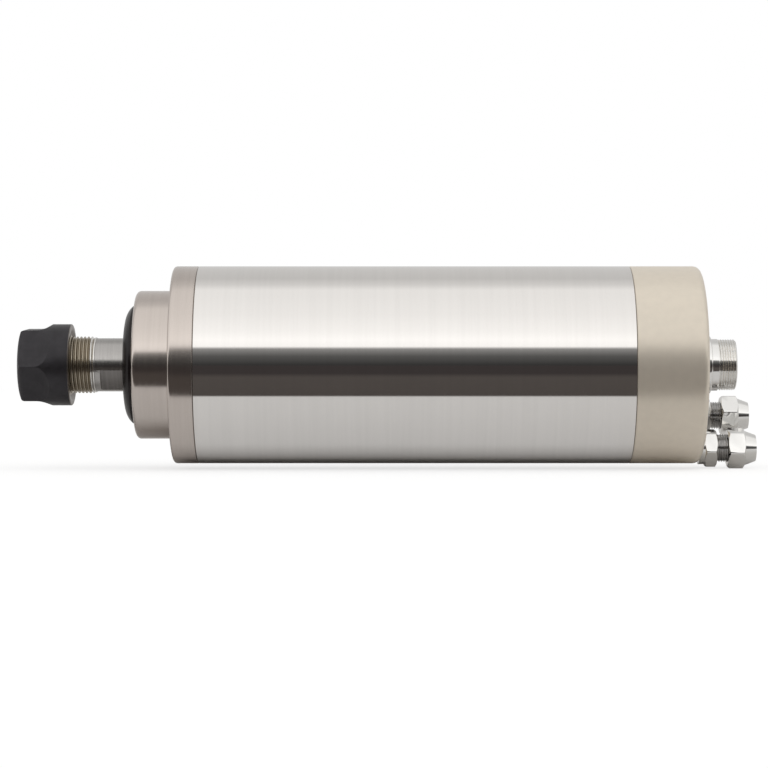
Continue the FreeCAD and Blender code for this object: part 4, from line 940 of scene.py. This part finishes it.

# %% [markdown]
# ## Collet nut
# The nut is a turned ring with a shallow dome on its front. Six wrench flats are milled from the
# front, and each cut runs out in an arc up to the round rear part. One cutter is drawn as that
# outline, with the flat's rounded front edge in it, given its width and used six times. A Bevel
# modifier then eases the sharp lines. The rear face is painted a mid grey, lighter than the
# black: a painted sheen.

# %% Collet nut
NUT_RADIUS = 16.5 * MM
NUT_FLATS = 28.6 * MM
NUT_FLATS_LENGTH = 7.2 * MM
NUT_RUNOUT = 9.8 * MM
NUT_CROWN = 10 * MM
NUT_DOME_DEPTH = 1.7 * MM
NUT_DOME_ARC = 13.3 * MM
NUT_FRONT_ROUND = 2.6 * MM
NUT_ROUND_LENGTH = 2.8 * MM
NUT_ROUND_ANGLE = math.radians(60)
NUT_BORE = 12.55 * MM
NUT_MOUTH = 1.3 * MM
NUT_CHAMFER = 0.3 * MM
NUT_ANGLE = math.radians(3)
NUT_EASE = 0.3 * MM
CUTTER_WIDTH = 40 * MM
RUNOUT_STEPS = 10
COLLET_NOSE = 9.05 * MM
COLLET_HEAD = 10.55 * MM
COLLET_CONE = 2.6 * MM
LIP_BORE_INSIDE = 9.6 * MM
LIP_FRONT = 3.6 * MM
LIP_BACK = 5.2 * MM
RELIEF = 11.4 * MM
RELIEF_GAP = 0.1 * MM
nut_face = nut_low[0]
nut_back = nut_high[0]
collet_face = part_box("collet")[0][0]


def nut_blank():
    shoulder = (nut_face + NUT_DOME_DEPTH, NUT_RADIUS)
    crown = (nut_face, NUT_CROWN)
    return turned("clamp_nut", [
        (nut_face, COLLET_NOSE),
        (collet_face, COLLET_NOSE),
        (collet_face + COLLET_CONE, COLLET_HEAD),
        (collet_face + LIP_FRONT, COLLET_HEAD),
        (collet_face + LIP_FRONT, LIP_BORE_INSIDE),
        (collet_face + LIP_BACK, LIP_BORE_INSIDE),
        (collet_face + LIP_BACK, RELIEF),
        (shaft_face - RELIEF_GAP, RELIEF),
        (shaft_face - RELIEF_GAP, NUT_BORE),
        (nut_back - NUT_MOUTH, NUT_BORE),
        (nut_back, NUT_BORE + 1.5 * NUT_MOUTH),
        (nut_back, NUT_RADIUS - NUT_CHAMFER),
        (nut_back - NUT_CHAMFER, NUT_RADIUS),
        shoulder,
        *arc(shoulder, crown, NUT_DOME_ARC),
        crown,
    ])


def flat_cutter(turn):
    """The outline of one flat and its run-out arc, extruded to its width."""
    low = NUT_FLATS / 2
    rise = NUT_RADIUS + 0.2 * MM - low
    ramp_start = nut_face + NUT_FLATS_LENGTH
    reach = math.acos(1 - rise / NUT_RUNOUT)
    round_end = nut_face + NUT_ROUND_LENGTH
    edge = (
        round_end - NUT_FRONT_ROUND * math.sin(NUT_ROUND_ANGLE),
        low - NUT_FRONT_ROUND * (1 - math.cos(NUT_ROUND_ANGLE)),
    )
    entry = edge[0] - nut_face + MM
    outline = [(nut_face - MM, edge[1] - entry * math.tan(NUT_ROUND_ANGLE)), edge]
    outline += arc((round_end, low), edge, NUT_FRONT_ROUND)[::-1]
    outline += [(round_end, low), (ramp_start, low)]
    for step in range(1, RUNOUT_STEPS + 1):
        angle = reach * step / RUNOUT_STEPS
        climb = NUT_RUNOUT * (1 - math.cos(angle))
        outline.append((ramp_start + NUT_RUNOUT * math.sin(angle), low + climb))
    outline += [(outline[-1][0], low + 2 * rise), (nut_face - MM, low + 2 * rise)]
    cutter = drawn("flat_cutter", outline, -CUTTER_WIDTH / 2)
    edit(cutter)
    bpy.ops.mesh.select_all(action="SELECT")
    bpy.ops.mesh.edge_face_add()
    bpy.ops.mesh.extrude_region_move(TRANSFORM_OT_translate={"value": (0, CUTTER_WIDTH, 0)})
    bpy.ops.mesh.select_all(action="SELECT")
    bpy.ops.mesh.normals_make_consistent(inside=False)
    done()
    place(cutter, turn=turn)
    return cutter


def collet_nut():
    piece = nut_blank()
    for number in range(6):
        carve(piece, flat_cutter(NUT_ANGLE + number * FULL_TURN / 6))
    ease_edges(piece, NUT_EASE, 22)
    finish_in(piece, nut_black, shade_and_sheen_grey)
    # The rear face is painted mid grey, lighter than the black: painted sheen.
    for face in piece.data.polygons:
        on_back = face.center.x > nut_back - NUT_MOUTH and face.normal.x > 0.1
        if on_back and off_axis(face) > NUT_BORE:
            face.material_index = 1
    dress(piece, "collet_nut", "nut_black", "collet_nut")


collet_nut()

# %% [markdown]
# ## Collet
# The collet is a slit cone that closes on the tool. Saw cuts from both ends, set between each
# other, let it close evenly. It is turned first, and one thin block, turned to each place, cuts
# the slits.

# %% Collet
COLLET_BORE = 3 * MM
COLLET_MOUTH = 0.3 * MM
COLLET_FACE_RADIUS = 9 * MM
COLLET_HEAD_RADIUS = 10.5 * MM
COLLET_GROOVE = 8.7 * MM
COLLET_TAPER = 10.25 * MM
COLLET_SMALL = 7 * MM
COLLET_TAIL = 5.8 * MM
SLIT_WIDTH = 0.4 * MM
FRONT_SLIT = 24 * MM
REAR_SLIT = 25 * MM
SLIT_ANGLE = math.radians(7.5)
collet_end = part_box("collet")[1][0]


def slit_cutter(start, end, turn):
    bpy.ops.object.select_all(action="DESELECT")
    bpy.ops.mesh.primitive_cube_add(size=1)
    block = bpy.context.active_object
    block.scale = (end - start, COLLET_HEAD_RADIUS + MM, SLIT_WIDTH)
    block.location = ((start + end) / 2, (COLLET_HEAD_RADIUS + MM) / 2, 0)
    bpy.ops.object.transform_apply(location=True, rotation=True, scale=True)
    place(block, turn=turn)
    return block


def spring_collet():
    piece = turned("spring_collet", [
        (collet_face, COLLET_BORE + COLLET_MOUTH),
        (collet_face + COLLET_MOUTH, COLLET_BORE),
        (collet_end, COLLET_BORE),
        (collet_end, COLLET_TAIL),
        (collet_end - 2 * MM, COLLET_SMALL - FIT_GAP),
        (collet_face + 6.4 * MM, COLLET_TAPER),
        (collet_face + 5.4 * MM, COLLET_TAPER),
        (collet_face + 5.4 * MM, COLLET_GROOVE),
        (collet_face + 3.4 * MM, COLLET_GROOVE),
        (collet_face + 3.4 * MM, COLLET_HEAD_RADIUS),
        (collet_face + 2.6 * MM, COLLET_HEAD_RADIUS),
        (collet_face, COLLET_FACE_RADIUS),
    ])
    for number in range(4):
        turn = SLIT_ANGLE + number * FULL_TURN / 4
        carve(piece, slit_cutter(collet_face - MM, collet_face + FRONT_SLIT, turn))
        between = turn + FULL_TURN / 8
        carve(piece, slit_cutter(collet_end - REAR_SLIT, collet_end + MM, between))
    finish_in(piece, bright_edge)
    dress(piece, "collet", "collet_steel", "collet")


spring_collet()

# %% [markdown]
# ## Connector
# The power connector is a chromed shell: a flange on the cap, a plain collar and a fine thread
# for the plug's ring. The insert inside carries four contact pins.

# %% Connector shell, insert and pins
FLANGE_RADIUS = 11.8 * MM
COLLAR_RADIUS = 10.5 * MM
SHELL_CORE = 9.75 * MM
SHELL_CREST = 10.3 * MM
SHELL_BORE = 8.6 * MM
SHELL_TAIL = 9.4 * MM
SHELL_PITCH = 1.0 * MM
flange_end = cap_back + 4.5 * MM
collar_end = flange_end + 2.9 * MM
shell_end = shell_high[0]


def connector_shell():
    piece = turned("plug_shell", [
        (shell_low[0], SHELL_BORE),
        (shell_end, SHELL_BORE),
        (shell_end, SHELL_CORE - 0.2 * MM),
        (shell_end - 0.4 * MM, SHELL_CORE),
        (collar_end, SHELL_CORE),
        (collar_end, COLLAR_RADIUS),
        (flange_end, COLLAR_RADIUS),
        (flange_end, FLANGE_RADIUS),
        (cap_back, FLANGE_RADIUS),
        (cap_back, SHELL_TAIL),
        (shell_low[0], SHELL_TAIL),
    ])
    break_edge(piece, flange_end, FLANGE_RADIUS, 0.75 * MM, 4)
    break_edge(piece, collar_end, COLLAR_RADIUS, 0.3 * MM, 3)
    ridge = trimmed_ridge(
        "shell_thread", collar_end, shell_end,
        SHELL_CORE, SHELL_CREST, SHELL_PITCH, SHELL_PITCH / 2,
    )
    piece = joined("plug_shell", [piece, ridge])
    finish_in(piece, chrome)
    dress(piece, "housing", "connector_chrome", "connector_shell")


connector_shell()


# %% [markdown]
# ### Insert and contact pins
# A black moulded insert holds four round-nosed pins, and a rib at its top lets the plug in only
# one way round. The recesses round the pins are drilled with one cutter that is copied round
# the axis, and the rib is a small block with its edges bevelled, joined by a Boolean.

# %% Insert and contact pins
INSERT_BACK = shell_end - 6.5 * MM
INSERT_LENGTH = 11 * MM
PIN_RADIUS = 0.9 * MM
PIN_CIRCLE = 5.1 * MM
PIN_REACH = 5.2 * MM
PIN_TAIL = 4 * MM
PIN_ANGLE = math.radians(45)
KEY_WIDTH = 2 * MM
KEY_INNER = 7.7 * MM
KEY_OUTER = 8.3 * MM
KEY_LENGTH = 6.5 * MM


def key_rib():
    """The rib at the top that only lets the plug in one way round."""
    bpy.ops.object.select_all(action="DESELECT")
    bpy.ops.mesh.primitive_cube_add(size=1)
    rib = bpy.context.active_object
    rib.scale = (KEY_LENGTH, KEY_WIDTH, KEY_OUTER - KEY_INNER)
    rib.location = (INSERT_BACK - MM + KEY_LENGTH / 2, 0, (KEY_INNER + KEY_OUTER) / 2)
    bpy.ops.object.transform_apply(location=True, rotation=True, scale=True)
    edit(rib)
    bpy.ops.mesh.select_all(action="SELECT")
    bpy.ops.mesh.bevel(offset=0.15 * MM, segments=2, affect="EDGES")
    done()
    return rib


def connector_insert():
    edge = SHELL_BORE - FIT_GAP
    piece = turned("plug_insert", [
        (INSERT_BACK - INSERT_LENGTH, 0),
        (INSERT_BACK - INSERT_LENGTH, edge),
        (INSERT_BACK - 0.4 * MM, edge),
        (INSERT_BACK, edge - 0.4 * MM),
        (INSERT_BACK, 0),
    ], 96)
    hole = turned("pin_drill", [
        (INSERT_BACK - 0.8 * MM, 0), (INSERT_BACK - 0.8 * MM, 1.6 * PIN_RADIUS),
        (INSERT_BACK + MM, 1.6 * PIN_RADIUS), (INSERT_BACK + MM, 0),
    ], 32)
    carve(piece, round_copies("pin_drills", hole, 4, PIN_CIRCLE, PIN_ANGLE))
    carve(piece, key_rib(), "UNION")
    finish_in(piece, moulded_black)
    dress(piece, "housing", "insert_plastic", "connector_insert")


def connector_pins():
    tip = INSERT_BACK + PIN_REACH
    pin = turned("pin_one", [
        (INSERT_BACK - INSERT_LENGTH - PIN_TAIL, 0),
        (INSERT_BACK - INSERT_LENGTH - PIN_TAIL, PIN_RADIUS),
        (tip - PIN_RADIUS, PIN_RADIUS),
        (tip, 0),
    ], 24)
    break_edge(pin, tip - PIN_RADIUS, PIN_RADIUS, 0.3 * MM, 3)
    finish_in(pin, pin_metal)
    pins = round_copies("contact_pins", pin, 4, PIN_CIRCLE, PIN_ANGLE)
    dress(pins, "housing", "pin_brass", "connector_pins")


connector_insert()
connector_pins()

# %% [markdown]
# ## Hose fittings
# Each fitting is a hexagon with a short threaded neck, and a compression nut with a conical end
# screwed over it. The hexagons are real hexagons whose corners a lathe tool has broken, so a
# six-sided prism is intersected with a turned blank: that gives the curved chamfer lines.

# %% Helper: a hexagon with turned corners
def turned_hexagon(name, section, flats, start, end, turn):
    """Intersect a lathe blank with a hexagonal prism."""
    piece = turned(name, section, 96)
    prism = hexagon(name + "_prism", start, end, flats, turn)
    carve(piece, prism, "INTERSECT")
    return piece


# %% [markdown]
# ### Fitting bodies and compression nuts
# The body is a stem with a collar against the cap, a hexagon for the wrench and a threaded neck.
# The nut has a cone at its outer end and a mouth for the hose. Both fittings are alike, so each
# is modelled on the spindle's axis and carried to its port. Every hexagon stands at its own
# angle, because each was tightened by hand.

# %% Fitting bodies and compression nuts
COLLAR = 6.6 * MM
COLLAR_LENGTH = 2.5 * MM
FIRST_HEX = 14 * MM
FIRST_HEX_LENGTH = 4.9 * MM
NECK = 5.6 * MM
NECK_CORE = 5.1 * MM
NECK_LENGTH = 9.5 * MM
NECK_PITCH = 1.0 * MM
CORNER_SHARE = 1.13
CORNER_SLOPE = 1.6
FIRST_HEX_BREAK = 0.6 * MM
NUT_HEX_BREAK = 0.7 * MM
NIPPLE = 2.6 * MM
WATER_BORE = 1.6 * MM
NUT_HEX = 15 * MM
NUT_CONE = 4.6 * MM
HOSE_RADIUS = 4.1 * MM
MOUTH_LENGTH = 3.5 * MM
FITTING_TURNS = {"lower": math.radians(41), "upper": math.radians(30)}
FITTING_NUT_TURNS = {"lower": math.radians(43.6), "upper": math.radians(18.7)}


def port_offset(side):
    angle = PORT_ANGLES[side]
    return (0, PORT_CIRCLE * math.cos(angle), PORT_CIRCLE * math.sin(angle))


def fitting_body(side):
    body_low, body_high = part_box(f"{side}_fitting_body")
    collar_back = cap_back + COLLAR_LENGTH
    hex_back = collar_back + FIRST_HEX_LENGTH
    neck_back = hex_back + NECK_LENGTH
    corner = FIRST_HEX / 2 * CORNER_SHARE
    rim = corner - FIRST_HEX_BREAK * CORNER_SLOPE
    head = turned_hexagon(f"{side}_first_hex", [
        (collar_back, NECK_CORE - MM),
        (hex_back, NECK_CORE - MM),
        (hex_back, rim),
        (hex_back - FIRST_HEX_BREAK, corner),
        (collar_back + FIRST_HEX_BREAK, corner),
        (collar_back, rim),
    ], FIRST_HEX, collar_back - MM, hex_back + MM, FITTING_TURNS[side])
    stem = turned(f"{side}_stem", [
        (body_low[0], WATER_BORE),
        (body_high[0], WATER_BORE),
        (body_high[0], NIPPLE - 0.3 * MM),
        (body_high[0] - MM, NIPPLE),
        (neck_back, NIPPLE),
        (neck_back, NECK_CORE),
        (collar_back, NECK_CORE),
        (collar_back, COLLAR),
        (cap_back, COLLAR),
        (cap_back, PORT_RADIUS - FIT_GAP),
        (body_low[0], PORT_RADIUS - FIT_GAP),
    ], 96)
    ridge = trimmed_ridge(
        f"{side}_neck_thread", hex_back + 0.4 * MM, neck_back,
        NECK_CORE, NECK, NECK_PITCH, NECK_PITCH / 2, 48,
    )
    finish_in(stem, chrome, neck_shade_chrome)
    finish_in(head, chrome)
    finish_in(ridge, neck_shade_chrome)
    # The threaded neck and its ridge are painted a darker chrome, as shade.
    for face in stem.data.polygons:
        if hex_back < face.center.x < neck_back:
            face.material_index = 1
    piece = joined(f"{side}_hose_fitting", [stem, head, ridge])
    place(piece, port_offset(side))
    dress(piece, "housing", "fitting_chrome", f"{side}_fitting_body")


def fitting_nut(side):
    low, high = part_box(f"{side}_fitting_nut")
    start, end = low[0], high[0]
    mouth = end - MOUTH_LENGTH
    corner = NUT_HEX / 2 * CORNER_SHARE
    rim = corner - NUT_HEX_BREAK * CORNER_SLOPE
    piece = turned_hexagon(f"{side}_hose_nut", [
        (start, NECK + 0.1 * MM),
        (mouth - MOUTH_LENGTH / 2, NECK + 0.1 * MM),
        (mouth, HOSE_RADIUS),
        (end, HOSE_RADIUS),
        (end, HOSE_RADIUS + 1.3 * MM),
        (end - NUT_CONE, NUT_HEX / 2 - 0.4 * MM),
        (end - NUT_CONE, rim),
        (end - NUT_CONE - NUT_HEX_BREAK, corner),
        (start + NUT_HEX_BREAK, corner),
        (start, rim),
    ], NUT_HEX, start - MM, end + MM, FITTING_NUT_TURNS[side])
    place(piece, port_offset(side))
    finish_in(piece, chrome)
    dress(piece, f"{side}_fitting_nut", "fitting_chrome", f"{side}_fitting_nut")


for side in ("lower", "upper"):
    fitting_body(side)
    fitting_nut(side)

# %% [markdown]
# ## Table with a dark strip
# Polished steel only shows what stands around it. Here that is a pale table, a soft white light
# from above and a dark cloth that lies in front of the spindle: the cloth and the dark side of
# the room make the black band along the barrel. The cloth is only a darker strip of the table
# that reflections and bounced light see, and the camera sees a plain white table. Reflections
# see a glow on the table too: painted light, since the table is no lamp. It fades towards the
# line where the barrel rests, as a painted shadow.

# %% Table with a dark strip
TABLE_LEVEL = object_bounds()[0][2]
TABLE_SIZE = 6.0
TABLE_GAIN = 1.3
SHADOW_SHARE = 0.3
TABLE_PALE = (0.68, 0.67, 0.66)
CLOTH_NEAR = (0.10, 0.089, 0.084)
CLOTH_FAR = (0.055, 0.048, 0.048)
STRIP = [
    (-260 * MM, CLOTH_FAR), (-180 * MM, CLOTH_NEAR),
    (-78.2 * MM, CLOTH_NEAR), (-78 * MM, TABLE_PALE),
]
# Painted light that only reflections see; near the resting line it fades out as a painted shadow.
GLOW_LEVEL = 0.66
GLOW_SHARE = 0.6
GLOW = [
    (-78.2 * MM, 0), (-78 * MM, GLOW_SHARE),
    (-22 * MM, GLOW_SHARE), (-6 * MM, 0),
]
DEPTH_RANGE = 500 * MM


def depth_ramp(nodes, links, stops):
    """A colour ramp on the depth in front of the spindle; a stop is a Y and a colour or level."""
    place_node = nodes.new("ShaderNodeTexCoord")
    split = nodes.new("ShaderNodeSeparateXYZ")
    spread = nodes.new("ShaderNodeMapRange")
    spread.inputs["From Min"].default_value = -DEPTH_RANGE
    spread.inputs["From Max"].default_value = 0
    ramp = nodes.new("ShaderNodeValToRGB")
    while len(ramp.color_ramp.elements) < len(stops):
        ramp.color_ramp.elements.new(0.5)
    for element, (depth, color) in zip(ramp.color_ramp.elements, stops):
        element.position = 1 + depth / DEPTH_RANGE
    for element, (depth, color) in zip(ramp.color_ramp.elements, stops):
        element.color = (*color, 1) if isinstance(color, tuple) else (color, color, color, 1)
    links.new(place_node.outputs["Object"], split.inputs["Vector"])
    links.new(split.outputs["Y"], spread.inputs["Value"])
    links.new(spread.outputs["Result"], ramp.inputs["Fac"])
    return ramp.outputs["Color"]


def table_material():
    """Pale with a dark strip; the camera sees it nearly white, with a light shadow."""
    material, shader = new_material("table_white", TABLE_PALE, 0.0, 0.8)
    shader.inputs["Specular IOR Level"].default_value = 0
    nodes = material.node_tree.nodes
    links = material.node_tree.links
    links.new(depth_ramp(nodes, links, STRIP), shader.inputs["Base Color"])
    path = nodes.new("ShaderNodeLightPath")
    # Reflections see a painted glow in place of part of the lit table.
    glow = nodes.new("ShaderNodeEmission")
    glow.inputs["Color"].default_value = (GLOW_LEVEL, GLOW_LEVEL, GLOW_LEVEL, 1)
    share = nodes.new("ShaderNodeMath")
    share.operation = "MULTIPLY"
    links.new(path.outputs["Is Glossy Ray"], share.inputs[0])
    links.new(depth_ramp(nodes, links, GLOW), share.inputs[1])
    mirrored = nodes.new("ShaderNodeMixShader")
    links.new(share.outputs[0], mirrored.inputs["Fac"])
    links.new(shader.outputs["BSDF"], mirrored.inputs[1])
    links.new(glow.outputs["Emission"], mirrored.inputs[2])
    white = nodes.new("ShaderNodeEmission")
    lit = nodes.new("ShaderNodeBsdfDiffuse")
    lit.inputs["Color"].default_value = (TABLE_GAIN, TABLE_GAIN, TABLE_GAIN, 1)
    seen = nodes.new("ShaderNodeMixShader")
    seen.inputs["Fac"].default_value = SHADOW_SHARE
    links.new(white.outputs["Emission"], seen.inputs[1])
    links.new(lit.outputs["BSDF"], seen.inputs[2])
    mix = nodes.new("ShaderNodeMixShader")
    links.new(path.outputs["Is Camera Ray"], mix.inputs["Fac"])
    links.new(mirrored.outputs["Shader"], mix.inputs[1])
    links.new(seen.outputs["Shader"], mix.inputs[2])
    links.new(mix.outputs["Shader"], nodes["Material Output"].inputs["Surface"])
    return material


bpy.ops.object.select_all(action="DESELECT")
bpy.ops.mesh.primitive_plane_add(size=TABLE_SIZE, location=(0, 0, TABLE_LEVEL))
table = bpy.context.active_object
table.name = "table"
bpy.ops.object.transform_apply(location=True, rotation=True, scale=True)
table.data.materials.append(table_material())

# %% [markdown]
# ### The room
# Lamps would show as spots in the polished barrel. A world that changes only with the height of
# the look gives long even bands instead, as a large soft box does. The list gives the angle
# round the barrel in degrees, with 0 level in front and 90 straight up, and the brightness.

# %% Room light
SKY_STOPS = [
    (-180, 0.60), (-37, 0.60), (-36, 0.10), (-18, 0.09), (0, 0.038), (10, 0.10),
    (15, 0.20), (19, 0.32), (20.5, 1.10), (29, 1.16), (39, 1.06), (60, 0.96),
    (85, 0.91), (97, 0.90), (107, 0.71), (120, 0.59), (160, 0.64), (180, 0.66),
]
SKY_STRENGTH = 1.2
SKY_TINT = (1, 0.995, 0.985)


def room_light():
    world = bpy.data.worlds.new("studio")
    bpy.context.scene.world = world
    world.use_nodes = True
    nodes = world.node_tree.nodes
    links = world.node_tree.links
    look = nodes.new("ShaderNodeTexCoord")
    split = nodes.new("ShaderNodeSeparateXYZ")
    links.new(look.outputs["Generated"], split.inputs["Vector"])
    front = nodes.new("ShaderNodeMath")
    front.operation = "MULTIPLY"
    front.inputs[1].default_value = -1
    links.new(split.outputs["Y"], front.inputs[0])
    height = nodes.new("ShaderNodeMath")
    height.operation = "ARCTAN2"
    links.new(split.outputs["Z"], height.inputs[0])
    links.new(front.outputs[0], height.inputs[1])
    spread = nodes.new("ShaderNodeMapRange")
    spread.inputs["From Min"].default_value = -math.pi
    spread.inputs["From Max"].default_value = math.pi
    links.new(height.outputs[0], spread.inputs["Value"])
    ramp = nodes.new("ShaderNodeValToRGB")
    stops = ramp.color_ramp.elements
    while len(stops) < len(SKY_STOPS):
        stops.new(0.5)
    for stop, (degrees, level) in zip(stops, SKY_STOPS):
        stop.position = (degrees + 180) / 360
    for stop, (degrees, level) in zip(stops, SKY_STOPS):
        stop.color = (*(level * share / SKY_STRENGTH for share in SKY_TINT), 1)
    links.new(spread.outputs["Result"], ramp.inputs["Fac"])
    path = nodes.new("ShaderNodeLightPath")
    white = nodes.new("ShaderNodeBackground")
    sky = nodes["Background"]
    sky.inputs["Strength"].default_value = SKY_STRENGTH
    links.new(ramp.outputs["Color"], sky.inputs["Color"])
    mix = nodes.new("ShaderNodeMixShader")
    links.new(path.outputs["Is Camera Ray"], mix.inputs["Fac"])
    links.new(sky.outputs["Background"], mix.inputs[1])
    links.new(white.outputs["Background"], mix.inputs[2])
    white.inputs["Color"].default_value = (1, 1, 1, 1)
    links.new(mix.outputs["Shader"], nodes["World Output"].inputs["Surface"])


room_light()
